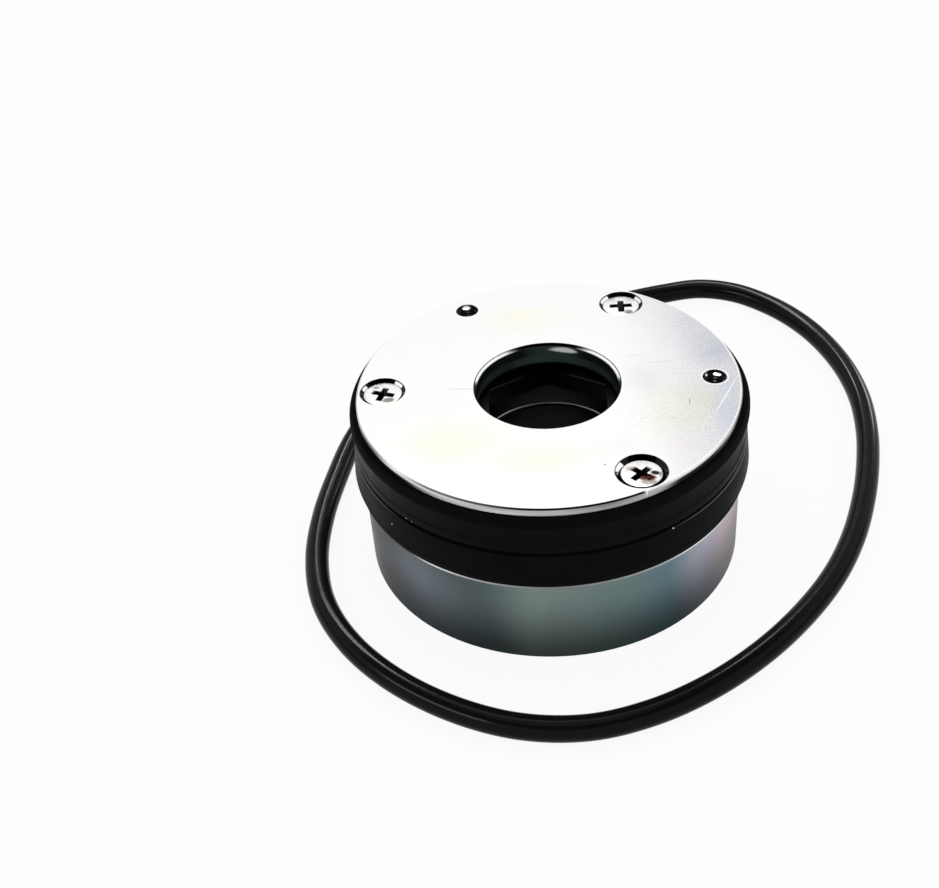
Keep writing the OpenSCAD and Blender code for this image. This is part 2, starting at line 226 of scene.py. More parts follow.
def section(bm, corners):
    """Outline in the XZ plane from corners of radius, height and rounding. Returns its points
    and edges."""
    verts = [bm.verts.new((r, 0, z)) for r, z, _ in corners]
    bm.faces.new(verts)
    for vert, (_, _, rounding) in zip(verts, corners):
        if rounding > 0:
            bmesh.ops.bevel(bm, geom=[vert], offset=rounding, offset_type="OFFSET",
                            affect="VERTICES", segments=4, profile=0.5, material=-1)
    bmesh.ops.delete(bm, geom=list(bm.faces), context="FACES_ONLY")
    return list(bm.verts) + list(bm.edges)


def spun(corners, steps):
    """Closed ring, made by one turn of an outline round the Z axis."""
    bm = bmesh.new()
    outline = section(bm, corners)
    bmesh.ops.spin(bm, geom=outline, cent=(0, 0, 0), axis=(0, 0, 1), angle=math.tau,
                   steps=steps, use_merge=True, use_duplicate=False)
    bmesh.ops.remove_doubles(bm, verts=bm.verts, dist=MERGE)
    bmesh.ops.recalc_face_normals(bm, faces=bm.faces)
    return bm


def spun_solid(points, steps):
    """Solid of revolution round the Z axis, from points of radius and height that start and
    end on the axis."""
    bm = bmesh.new()
    verts = [bm.verts.new((r, 0, z)) for r, z in points]
    edges = [bm.edges.new(pair) for pair in zip(verts, verts[1:])]
    bmesh.ops.spin(bm, geom=verts + edges, cent=(0, 0, 0), axis=(0, 0, 1), angle=math.tau,
                   steps=steps, use_merge=True, use_duplicate=False)
    bmesh.ops.remove_doubles(bm, verts=bm.verts, dist=MERGE)
    bmesh.ops.dissolve_degenerate(bm, dist=MERGE, edges=bm.edges)
    bmesh.ops.recalc_face_normals(bm, faces=bm.faces)
    return bm


def helix(bm, outline, pitch, turns, steps):
    """Sweeps an outline up round the Z axis. Returns the last ring of its geometry."""
    return bmesh.ops.spin(
        bm, geom=outline, cent=(0, 0, 0), axis=(0, 0, 1), dvec=(0, 0, pitch / steps),
        angle=math.tau * turns, steps=round(turns * steps), use_duplicate=False)["geom_last"]


def close_ends(bm):
    """Fills the open ends of a swept outline."""
    ends = [edge for edge in bm.edges if edge.is_boundary]
    bmesh.ops.holes_fill(bm, edges=ends, sides=0)
    bmesh.ops.recalc_face_normals(bm, faces=bm.faces)


def ridge(root, crest, low, pitch, turns):
    """One ridge of a thread, wound up round the Z axis from a height."""
    bm = bmesh.new()
    verts = [bm.verts.new(point) for point in [
        (root, 0, low), (crest, 0, low + 0.44 * pitch), (crest, 0, low + 0.56 * pitch),
        (root, 0, low + pitch)]]
    edges = [bm.edges.new((verts[i], verts[(i + 1) % 4])) for i in range(4)]
    helix(bm, verts + edges, pitch, turns, 32)
    close_ends(bm)
    return bm


def moved(bm, matrix):
    """The mesh, carried by a matrix."""
    bmesh.ops.transform(bm, matrix=matrix, verts=bm.verts)
    return bm


def shape_edges(bm, sharp):
    """Smooth faces, with an edge kept wherever two faces meet at a clear angle."""
    for face in bm.faces:
        face.smooth = True
    for edge in bm.edges:
        edge.smooth = len(edge.link_faces) == 2 and edge.calc_face_angle(0) < sharp


def new_object(name, data):
    """New object in the scene's own collection."""
    made = bpy.data.objects.new(name, data)
    bpy.context.scene.collection.objects.link(made)
    return made


def mesh_of(bm, name):
    """Mesh data from a mesh in the making, which it frees."""
    mesh = bpy.data.meshes.new(name)
    bm.to_mesh(mesh)
    bm.free()
    return mesh


def join(whole, part):
    """Adds the mesh of a part to a whole, and frees the part."""
    mesh = mesh_of(part, "part")
    whole.from_mesh(mesh)
    bpy.data.meshes.remove(mesh)


def carved(bm, cutters):
    """The mesh without the volumes of the cutters."""
    blank = new_object("blank", mesh_of(bm, "blank"))
    tools = []
    for cutter in cutters:
        tool = new_object("tool", mesh_of(cutter, "tool"))
        tools.append(tool)
        cut = blank.modifiers.new("cut", "BOOLEAN")
        cut.operation = "DIFFERENCE"
        cut.solver = "EXACT"
        cut.object = tool
    bpy.context.view_layer.update()
    result = bmesh.new()
    result.from_object(blank, bpy.context.evaluated_depsgraph_get())
    for used in [blank] + tools:
        mesh = used.data
        bpy.data.objects.remove(used)
        bpy.data.meshes.remove(mesh)
    bmesh.ops.remove_doubles(result, verts=result.verts, dist=MERGE)
    return result


def piece(bm, name, body, material, nodes=(), sharp=SHARP):
    """Finished mesh piece that rides on a body and stands for the given nodes."""
    shape_edges(bm, sharp)
    made = new_object(name, mesh_of(bm, name))
    made.data.materials.append(material)
    return settle(made, body, nodes)


def settle(made, body, nodes):
    """Puts a piece on its body, in place of the given nodes."""
    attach(made, body)
    if nodes:
        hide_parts(*nodes)
    return made


def paint(node, material):
    """Gives a CAD node its material."""
    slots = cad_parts[node].data.materials
    slots.clear()
    slots.append(material)


def polar(angle, radius, z=0):
    """Move to a place at that angle, distance from the Z axis and height."""
    return Matrix.Translation(turned(radius, 0, z, angle))


# Materials

def start(name, colour, metallic, roughness):
    """New material with one Principled shader. Returns the material, its nodes and the shader."""
    material = bpy.data.materials.new(name)
    material.use_nodes = True
    tree = material.node_tree
    shader = tree.nodes["Principled BSDF"]
    shader.inputs["Base Color"].default_value = (*colour, 1)
    shader.inputs["Metallic"].default_value = metallic
    shader.inputs["Roughness"].default_value = roughness
    return material, tree, shader


def add(tree, kind, settings=None, **inputs):
    """Adds a node. Each input is a value, or a socket to link from."""
    made = tree.nodes.new(kind)
    for key, value in (settings or {}).items():
        setattr(made, key, value)
    for key, value in inputs.items():
        give(tree, made.inputs[key.replace("_", " ")], value)
    return made


def give(tree, socket, value):
    """Links a socket, or sets its value."""
    if isinstance(value, bpy.types.NodeSocket):
        tree.links.new(value, socket)
    else:
        socket.default_value = value


def place(tree):
    """Socket of the piece's own coordinates, in metres."""
    return add(tree, "ShaderNodeTexCoord").outputs["Object"]


def heights(tree, coords):
    """Height of the point being shaded."""
    return add(tree, "ShaderNodeSeparateXYZ", Vector=coords).outputs["Z"]


def noise(tree, coords, scale, detail, roughness, stretch=(1, 1, 1)):
    """Cloudy pattern from 0 to 1, drawn out along an axis by a smaller stretch."""
    spread = add(tree, "ShaderNodeMapping", Vector=coords, Scale=stretch)
    made = add(tree, "ShaderNodeTexNoise", Vector=spread.outputs["Vector"], Scale=scale,
               Detail=detail, Roughness=roughness)
    return made.outputs["Fac"]


def span(tree, value, low, high, to_low=0.0, to_high=1.0, smooth=True):
    """Carries a value from one range to another, held at both ends."""
    made = add(tree, "ShaderNodeMapRange",
               {"interpolation_type": "SMOOTHSTEP" if smooth else "LINEAR"})
    for name, given in [("Value", value), ("From Min", low), ("From Max", high),
                        ("To Min", to_low), ("To Max", to_high)]:
        give(tree, made.inputs[name], given)
    return made.outputs["Result"]


def combine(tree, how, a, b=0.0):
    """Result of a Math node on two values."""
    made = add(tree, "ShaderNodeMath", {"operation": how})
    give(tree, made.inputs[0], a)
    give(tree, made.inputs[1], b)
    return made.outputs["Value"]


def mix(tree, share, a, b, blend="MIX"):
    """Colour a with a share of colour b. A colour is three numbers or a socket."""
    made = add(tree, "ShaderNodeMix", {"data_type": "RGBA", "blend_type": blend})
    give(tree, made.inputs["Factor"], share)
    for name, colour in [("A", a), ("B", b)]:
        socket = [s for s in made.inputs if s.name == name and s.type == "RGBA"][0]
        give(tree, socket, colour if isinstance(colour, bpy.types.NodeSocket) else (*colour, 1))
    return [s for s in made.outputs if s.type == "RGBA"][0]


def ramp(tree, value, stops):
    """Colour ramp of stops, each a place from 0 to 1 and a colour of three numbers."""
    made = add(tree, "ShaderNodeValToRGB", Fac=value)
    scale = made.color_ramp
    scale.interpolation = "EASE"
    while len(scale.elements) < len(stops):
        scale.elements.new(1)
    for element, (where, colour) in zip(scale.elements, stops):
        element.position = where
        element.color = (*colour, 1)
    return made.outputs["Color"]


def spot(tree, coords, centre, size, turn=0.0):
    """Soft ellipsoid mask: 1 at its centre in metres, 0 at its half sizes and beyond."""
    local = add(tree, "ShaderNodeMapping", {"vector_type": "TEXTURE"}, Vector=coords,
                Location=centre, Rotation=(0, 0, math.radians(turn)), Scale=size)
    ball = add(tree, "ShaderNodeTexGradient", {"gradient_type": "SPHERICAL"},
               Vector=local.outputs["Vector"])
    return ball.outputs["Fac"]


def dab(tree, coords, tone, centre, size, colour, share=1.0, turn=0.0, soft=(0.0, 0.5)):
    """The tone with a soft dab of a colour on it. Its centre and half sizes are in mm."""
    mask = spot(tree, coords, Vector(centre) * MM, Vector(size) * MM, turn)
    return mix(tree, span(tree, mask, *soft, 0, share), tone, colour)


def pit(tree, coords, angle, radius, hole_r):
    """1 inside an upright cylinder at that angle and distance from the axis, 0 outside it."""
    reach = hole_r / 0.8
    mask = spot(tree, coords, turned(radius, 0, 0, angle), (reach, reach, 1))
    return span(tree, mask, 0.17, 0.2)


def radii(tree, coords):
    """Distance from the Z axis."""
    parts = add(tree, "ShaderNodeSeparateXYZ", Vector=coords)
    flat = add(tree, "ShaderNodeCombineXYZ", X=parts.outputs["X"], Y=parts.outputs["Y"])
    return add(tree, "ShaderNodeVectorMath", {"operation": "LENGTH"},
               Vector=flat.outputs["Vector"]).outputs["Value"]


def bearing(tree, coords):
    """Angle round the Z axis as a share of a turn: 0 at -X, a quarter at -Y, the front."""
    return add(tree, "ShaderNodeTexGradient", {"gradient_type": "RADIAL"},
               Vector=coords).outputs["Fac"]


def tone_round(tree, turn, stops):
    """Grey tone by the angle round the Z axis, from stops of degrees from +X and tone."""
    return ramp(tree, turn, [((angle + 180) / 360, (tone, tone, tone)) for angle, tone in stops])


def band(tree, value, low, high, soft):
    """1 between two values, 0 outside them, with a soft step at both."""
    rise = span(tree, value, low - soft, low)
    fall = span(tree, value, high, high + soft, 1.0, 0.0)
    return combine(tree, "MULTIPLY", rise, fall)


def all_pits(tree, coords, angles, radius, hole_r):
    """1 inside upright cylinders at several angles, 0 outside them."""
    masks = [pit(tree, coords, angle, radius, hole_r) for angle in angles]
    total = masks[0]
    for mask in masks[1:]:
        total = combine(tree, "MAXIMUM", total, mask)
    return total


def bump(tree, shader, height, strength, distance):
    """Fine relief of the surface from a pattern."""
    made = add(tree, "ShaderNodeBump", Height=height, Strength=strength, Distance=distance)
    tree.links.new(made.outputs["Normal"], shader.inputs["Normal"])


def feed(tree, shader, name, value):
    """Links a pattern to one input of a shader."""
    tree.links.new(value, shader.inputs[name])


def zinc_plate():
    """Bright zinc: near white, with painted shade that turns it greyer and bluer towards the
    right, pale yellow stains and bluish patches, and painted light and shade at its holes, its
    edge and its bore.
    """
    finish = bpy.context.scene.brake_finish
    material, tree, shader = start("zinc_plate", finish.plate, 1.0, 0.24)
    shader.inputs["Specular IOR Level"].default_value = 0.1
    coords = place(tree)
    x = add(tree, "ShaderNodeSeparateXYZ", Vector=coords).outputs["X"]
    z = heights(tree, coords)
    radius = radii(tree, coords)
    turn = bearing(tree, coords)
    # Painted shade: the zinc turns greyer and bluer towards the right side
    drift = combine(tree, "MULTIPLY", noise(tree, coords, 45, 3, 0.55), 14 * MM)
    right = span(tree, combine(tree, "ADD", x, drift), 17 * MM, 46 * MM)
    tone = mix(tree, right, tuple(finish.plate), tuple(finish.plate_shade))
    tone = patches(tree, coords, tone)
    grain = noise(tree, coords, 2600, 2, 0.6)
    speckle = mix(tree, span(tree, right, 0, 1, 0.1, 1.0), (1, 1, 1),
                  span(tree, grain, 0.35, 0.65, 0.84, 1.04))
    tone = mix(tree, 1.0, tone, speckle, "MULTIPLY")
    tone = marks(tree, coords, tone)
    # Painted highlight: a white ring round each tapped hole
    painted_hole_ring_light = all_pits(tree, coords, FIXING_ANGLES, FIXING_R, 2.5 * MM)
    tone = mix(tree, combine(tree, "MULTIPLY", painted_hole_ring_light, 0.9), tone, (1, 1, 1))
    # Painted shade in the tapped holes, with painted glints left open in it, and in the
    # countersinks
    below = span(tree, z, TOP_Z - 0.08 * MM, TOP_Z - 0.01 * MM, 1.0, 0.0)
    holes = hole_shade_mask(tree, coords, below)
    tone = mix(tree, holes, tone, (0.005, 0.005, 0.005))
    tone, sunk = countersinks(tree, coords, below, tone)
    # Painted highlight and dark line on the top's edge, and painted light and shade on the plate's
    # side
    tone = hem(tree, radius, turn, tone)
    rim = span(tree, radius, PLATE_R - 0.22 * MM, PLATE_R - 0.18 * MM)
    tone = mix(tree, rim, tone, rim_tone(tree, coords, z, turn))
    tone = bore_tone(tree, coords, z, radius, turn, tone)
    feed(tree, shader, "Base Color", tone)
    inside = span(tree, radius, BORE_R + 0.08 * MM, BORE_R + 0.13 * MM, 0.08, 1.0)
    outside = span(tree, rim, 0, 1, 1.0, 0.05)
    share = combine(tree, "MULTIPLY", inside, outside)
    feed(tree, shader, "Metallic", glints(tree, coords, share, holes))
    rough = span(tree, grain, 0.3, 0.7, 0.20, 0.26)
    rough = combine(tree, "SUBTRACT", rough, combine(tree, "MULTIPLY", sunk, 0.12))
    feed(tree, shader, "Roughness", combine(tree, "ADD", rough, combine(
        tree, "MULTIPLY", rim, 0.3)))
    bump(tree, shader, grain, 0.04, 0.01 * MM)
    return material


def hem(tree, radius, turn, tone):
    """The top's outermost strip: a painted highlight at the right, and a thin painted dark line
    behind and at the left.
    """
    pale = tone_round(tree, turn, [(-180, 0), (-75, 0), (-50, 0.9), (30, 0.9), (55, 0), (180, 0)])
    strip = span(tree, radius, PLATE_R - 0.45 * MM, PLATE_R - 0.39 * MM)
    tone = mix(tree, combine(tree, "MULTIPLY", strip, pale), tone, (1, 1, 1))
    dark = tone_round(tree, turn, [
        (-180, 0.3), (-174, 0), (140, 0), (155, 0.1), (170, 0.3), (180, 0.3)])
    line = span(tree, radius, PLATE_R - 0.32 * MM, PLATE_R - 0.28 * MM)
    return mix(tree, combine(tree, "MULTIPLY", line, dark), tone, (0.05, 0.05, 0.05))


def patches(tree, coords, tone):
    """Broad, faint stains of the zinc's passivation, greyer patches at the right that add to the
    painted shade there, and fine wavy scuffs in the largest.
    """
    uneven = span(tree, noise(tree, coords, 140, 4, 0.6), 0.25, 0.75, 0.45, 1.0)
    for x, y, w, d, share, colour in [
            (-4, 22, 9, 6, 0.7, (1.0, 0.99, 0.80)), (-17, -16, 12, 9, 0.7, (1.0, 1.0, 0.82)),
            (-2, -22, 12, 6, 0.75, (1.0, 0.99, 0.84)), (24, -7, 9, 9, 0.8, (0.97, 0.96, 0.80)),
            (22, -14, 8, 6, 0.7, (0.98, 0.97, 0.86)), (31, 10, 8, 9, 0.9, (0.80, 0.81, 0.87)),
            (18, 5, 6, 7, 0.5, (0.96, 0.94, 1.0)), (32, -10, 4, 14, 0.8, (0.87, 0.89, 0.98)),
            (27, 19, 6, 6, 0.7, (0.88, 0.88, 0.90)), (10, -20, 8, 6, 0.7, (0.95, 0.94, 0.94)),
            (23, -20, 6, 5, 0.7, (1.0, 0.93, 0.97)), (29, -7, 4, 4, 0.5, (0.93, 0.96, 0.84)),
            (18, 0, 5, 7, 0.8, (0.88, 0.88, 0.92))]:
        mask = spot(tree, coords, (x * MM, y * MM, TOP_Z), (w * MM, d * MM, 1))
        fade = combine(tree, "MULTIPLY", span(tree, mask, 0, 0.8, 0, share), uneven)
        tone = mix(tree, fade, tone, colour, "MULTIPLY")
    waves = noise(tree, coords, 420, 5, 0.6, (1, 1.6, 1))
    lines = band(tree, waves, 0.48, 0.50, 0.015)
    scuffed = spot(tree, coords, (23 * MM, -11 * MM, TOP_Z), (15 * MM, 11 * MM, 1))
    share = combine(tree, "MULTIPLY", lines, span(tree, scuffed, 0, 0.7, 0, 0.25))
    return mix(tree, share, tone, (0.66, 0.66, 0.66))


def marks(tree, coords, tone):
    """Fine dark scratches, one dark dot and one bright straight scratch."""
    for x, y, w, d, turn, share, shade in [
            (-16.2, -0.3, 3.6, 0.10, -4.5, 0.45, 0.1), (9.15, -24.2, 0.26, 0.2, 10, 0.9, 0.1),
            (21, 5.5, 4.0, 0.12, 4, 0.22, 0.2), (25, 1.5, 3.0, 0.10, -6, 0.22, 0.2),
            (17, 8.0, 3.0, 0.10, 8, 0.18, 0.2), (25.2, -7.2, 1.3, 0.13, 84, 0.6, 0.1),
            (21.9, -11.9, 0.5, 0.1, 50, 0.5, 0.1), (31.8, -5.9, 7.6, 0.15, 64, 0.9, 1.1)]:
        tone = dab(tree, coords, tone, (x, y, TOP_Z / MM), (w, d, 2), (shade, shade, shade),
                   share, turn, (0, 0.55))
    return tone


def hole_shade_mask(tree, coords, below):
    """Mask of the painted shade on the tapped holes' walls, left open as painted glints of the
    plate's white where their threads catch the light.
    """
    mask = combine(tree, "MULTIPLY", below,
                   all_pits(tree, coords, FIXING_ANGLES, FIXING_R, 2.6 * MM))
    for centre, size, turn in [
            ((31.3, 1.7, 33.9), (1.1, 0.6, 0.35), 12), ((29.2, 1.2, 34.2), (0.3, 0.6, 0.35), 0),
            ((-15.5, 28.2, 34.1), (1.0, 0.7, 0.45), 0)]:
        glint = spot(tree, coords, Vector(centre) * MM, Vector(size) * MM, turn)
        mask = combine(tree, "MULTIPLY", mask, span(tree, glint, 0.0, 0.35, 1.0, 0.0))
    return mask


def countersinks(tree, coords, below, tone):
    """Painted shade on the countersinks' walls, left bare metal only where a bright stretch is
    mirrored in them.
    """
    sunk = combine(tree, "MULTIPLY", below,
                   all_pits(tree, coords, SCREW_ANGLES, SCREW_R, 4.7 * MM))
    middle = combine(tree, "SUBTRACT", all_pits(tree, coords, SCREW_ANGLES, SCREW_R, 4.02 * MM),
                     all_pits(tree, coords, SCREW_ANGLES, SCREW_R, 3.6 * MM))
    wide = combine(tree, "SUBTRACT", pit(tree, coords, WIDE_SINK, SCREW_R, 4.35 * MM),
                   pit(tree, coords, WIDE_SINK, SCREW_R, 3.65 * MM))
    middle = combine(tree, "MAXIMUM", middle, wide)
    windows = 0.0
    for angle, aside, size in [(60, -57, 1.5), (60, 66, 1.3), (180, -64, 0.8), (180, 48, 1.2),
                               (300, -70, 1.7)]:
        turn = math.radians(aside)
        centre = turned(SCREW_R, 0, 0, angle) + 3.85 * MM * Vector((
            math.sin(turn), math.cos(turn), 0))
        window = spot(tree, coords, centre, (size * MM, size * MM, 1))
        windows = combine(tree, "MAXIMUM", windows, span(tree, window, 0.1, 0.2))
    bare = combine(tree, "MULTIPLY", middle, windows)
    # Painted shade on the countersinks' walls, outside the bare windows
    dark = combine(tree, "MULTIPLY", sunk, combine(tree, "SUBTRACT", 1.0, bare))
    return mix(tree, dark, tone, (0.012, 0.012, 0.012)), sunk


def glints(tree, coords, share, holes):
    """Metallic share: low in the tapped holes, so that their painted shade stays dark and their
    painted glints stay white in any light.
    """
    for centre, size in [((31.4, 1.6, 33.7), (1.3, 0.7, 0.5)),
                         ((-15.5, 28.2, 34.1), (1.1, 0.8, 0.6))]:
        glint = spot(tree, coords, Vector(centre) * MM, Vector(size) * MM)
        share = combine(tree, "MULTIPLY", share, span(tree, glint, 0.0, 0.4, 1.0, 0.05))
    return combine(tree, "MULTIPLY", share, span(tree, holes, 0, 1, 1.0, 0.05))


def rim_tone(tree, coords, z, turn):
    """The plate's edge, its tones painted as light and shade that change round it: a light chamfer
    with a dark line in front, a satin side lighter or darker by angle and height, and a painted
    highlight on a nick.
    """
    upper = tone_round(tree, turn, [
        (-180, 1), (-165, 0.42), (-152, 0.2), (-140, 1), (-122, 0.9), (-105, 0.6), (-90, 0.6),
        (-75, 0.32), (-60, 0.62), (-50, 1), (-40, 0.9), (-30, 0.6), (-18, 0.04), (-8, 0.04),
        (4, 0.25), (14, 1), (180, 1)])
    lower = tone_round(tree, turn, [
        (-180, 1), (-168, 0.55), (-158, 0.01), (-136, 0.01), (-120, 0.8), (-105, 1),
        (-90, 0.8), (-75, 0.6), (-62, 0.7), (-52, 0.02), (-40, 0.02), (-32, 0.12), (-22, 0.03),
        (-14, 0.03), (-4, 1), (180, 1)])
    chamfer = tone_round(tree, turn, [
        (-180, 0.6), (-165, 0.7), (-150, 0.35), (-138, 1), (-60, 1), (-40, 1), (-30, 0.7),
        (-15, 0.5), (0, 0.45), (20, 1), (145, 1), (160, 0.6), (180, 0.6)])
    line = tone_round(tree, turn, [
        (-140, 0), (-125, 0.8), (-112, 0.9), (-98, 1), (-64.4, 1), (-63.4, 0)])
    rise = tone_round(tree, turn, [
        (-180, 0), (-160, 0.3), (-138, 0.3), (-130, 0), (-62, 0), (-50, 1), (-36, 1), (-26, 0),
        (180, 0)])
    level = combine(tree, "SUBTRACT", z, combine(tree, "MULTIPLY", rise, 0.35 * MM))
    tone = mix(tree, span(tree, level, 33.5 * MM, 33.95 * MM), lower, upper)
    tone = mix(tree, span(tree, z, TOP_Z - 0.24 * MM, TOP_Z - 0.18 * MM), tone, chamfer)
    high = span(tree, z, TOP_Z - 0.36 * MM, TOP_Z - 0.30 * MM)
    tone = mix(tree, combine(tree, "MULTIPLY", line, high), tone, (0.003, 0.003, 0.003))
    tone = mix(tree, 1.0, tone, (0.98, 1.0, 0.97), "MULTIPLY")
    return dab(tree, coords, tone, (15.65, -31.5, 34.3), (0.3, 1.2, 1.2), (1, 1, 1),
               turn=26, soft=(0.1, 0.4))


def bore_tone(tree, coords, z, radius, turn, tone):
    """The bore's mouth, painted dark with two painted bright crescents of reflection and a painted
    dark outline, over its greenish wall, whose painted shade changes round it and deepens to near
    black below, with a painted highlight.
    """
    # Painted reflection on the mouth's chamfer: bright crescents at the sides, dark elsewhere
    crescents = tone_round(tree, turn, [
        (-180, 0.02), (0, 0.02), (9, 1), (50, 1), (66, 0.01), (112, 0.01), (126, 1), (168, 1),
        (176, 0.02), (180, 0.02)])
    mouth = span(tree, radius, BORE_R + 0.43 * MM, BORE_R + 0.47 * MM, 1.0, 0.0)
    tone = mix(tree, mouth, tone, crescents)
    outline = band(tree, radius, BORE_R + 0.45 * MM, BORE_R + 0.58 * MM, 0.03 * MM)
    tone = mix(tree, outline, tone, (0.004, 0.004, 0.004))
    wall = span(tree, radius, BORE_R + 0.03 * MM, BORE_R + 0.10 * MM, 1.0, 0.0)
    # Painted shade on the wall, changing round it and darker in its upper part
    upper = tone_round(tree, turn, [
        (-180, 0.1), (0, 0.1), (55, 0.2), (76, 0.9), (98, 0.7), (112, 0.2), (180, 0.1)])
    lower = tone_round(tree, turn, [
        (-180, 0.3), (0, 0.3), (15, 0.35), (40, 0.6), (70, 0.85), (95, 1), (110, 0.85),
        (125, 0.5), (150, 0.6), (180, 0.3)])
    depth = span(tree, z, 31.9 * MM, 32.5 * MM)
    steel = mix(tree, 1.0, mix(tree, depth, lower, upper), (0.045, 0.072, 0.060), "MULTIPLY")
    # Painted shade: near black low in the bore
    steel = mix(tree, span(tree, z, 30.4 * MM, 30.7 * MM), (0.002, 0.002, 0.002), steel)
    # Painted highlight on the bore's far wall
    steel = dab(tree, coords, steel, (3.7, 12.5, 33.45), (4.0, 1.5, 0.7), (1, 1, 0.97))
    return mix(tree, wall, tone, steel)


def zinc_body():
    """Passivated zinc with bands of blue, green and pink round the body, their lightness round it
    painted as reflection, with painted shade towards its foot, darkest in front, and a painted
    bright edge over painted shade in its bore.
    """
    finish = bpy.context.scene.brake_finish
    material, tree, shader = start("zinc_body", finish.body, 1.0, 0.33)
    shader.inputs["Specular Tint"].default_value = (0.6, 0.6, 0.6, 1)
    coords = place(tree)
    turn = bearing(tree, coords)
    drift = combine(tree, "MULTIPLY", noise(tree, coords, 40, 2, 0.5), 0.05)
    angle = combine(tree, "ADD", turn, combine(tree, "SUBTRACT", drift, 0.025))
    # Passivation hues round the body, made lighter or darker round it as painted reflection
    bands = ramp(tree, angle, [
        (0.00, (0.16, 0.15, 0.16)), (0.05, (0.145, 0.135, 0.14)), (0.127, (0.25, 0.29, 0.33)),
        (0.188, (0.13, 0.17, 0.175)), (0.228, (0.24, 0.31, 0.29)), (0.25, (0.22, 0.28, 0.27)),
        (0.305, (0.19, 0.27, 0.26)), (0.347, (0.165, 0.26, 0.29)), (0.393, (0.45, 0.44, 0.52)),
        (0.43, (0.62, 0.53, 0.57)), (0.50, (0.33, 0.31, 0.32)), (0.60, (0.34, 0.37, 0.41)),
        (0.72, (0.22, 0.28, 0.27)), (0.84, (0.26, 0.30, 0.35)),
        (0.90, (0.36, 0.32, 0.34)), (0.96, (0.16, 0.15, 0.16)), (1.00, (0.16, 0.15, 0.16))])
    parts = add(tree, "ShaderNodeSeparateXYZ", Vector=coords)
    # Painted shade towards the foot, darkest in front
    aside = combine(tree, "ABSOLUTE", parts.outputs["X"])
    least = span(tree, aside, 24 * MM, 36 * MM, 0.12, 0.26)
    climb = span(tree, parts.outputs["Z"], 0.0, 18 * MM, smooth=False)
    rise = combine(tree, "POWER", climb, 1.7)
    foot = combine(tree, "ADD", least, combine(tree, "MULTIPLY", rise, 1.2))
    tone = mix(tree, 1.0, bands, foot, "MULTIPLY")
    # Painted highlight on the pole face's inner edge, over painted shade down the bore
    bore = span(tree, radii(tree, coords), 15 * MM, 16 * MM, 1.0, 0.0)
    inside = span(tree, parts.outputs["Z"], 20.42 * MM, 20.48 * MM)
    tone = mix(tree, bore, tone, mix(tree, inside, (0.01, 0.01, 0.01), (0.85, 0.85, 0.85)))
    edge = combine(tree, "MULTIPLY", bore, inside)
    feed(tree, shader, "Metallic", mix(tree, edge, (1, 1, 1), tone_round(
        tree, turn, [(-180, 0.8), (30, 0.8), (40, 0.2), (52, 0.2), (62, 0.8), (180, 0.8)])))
    rings = noise(tree, coords, 30, 3, 0.6, (1, 1, 120))
    tone = mix(tree, 1.0, tone, span(tree, rings, 0.3, 0.7, 0.93, 1.04), "MULTIPLY")
    feed(tree, shader, "Base Color", tone)
    feed(tree, shader, "Roughness", span(tree, rings, 0.3, 0.7, 0.28, 0.38))
    bump(tree, shader, rings, 0.12, 0.01 * MM)
    return material


def bright_shoulder():
    """The body's thin pale shoulder, its tone painted as light and shade round it: brightest to
    either side of the front, greyer in front and dark elsewhere.
    """
    material, tree, shader = start("bright_shoulder", (0.9, 0.9, 0.9), 0.1, 0.3)
    tone = tone_round(tree, bearing(tree, place(tree)), [
        (-180, 0.05), (-135, 0.05), (-125, 1), (-112, 0.5), (-100, 0.35), (-90, 0.24),
        (-78, 0.33), (-62, 0.5), (-48, 1), (-38, 0.9), (-28, 0.3), (-15, 0.15), (150, 0.15),
        (180, 0.05)])
    feed(tree, shader, "Base Color", tone)
    return material


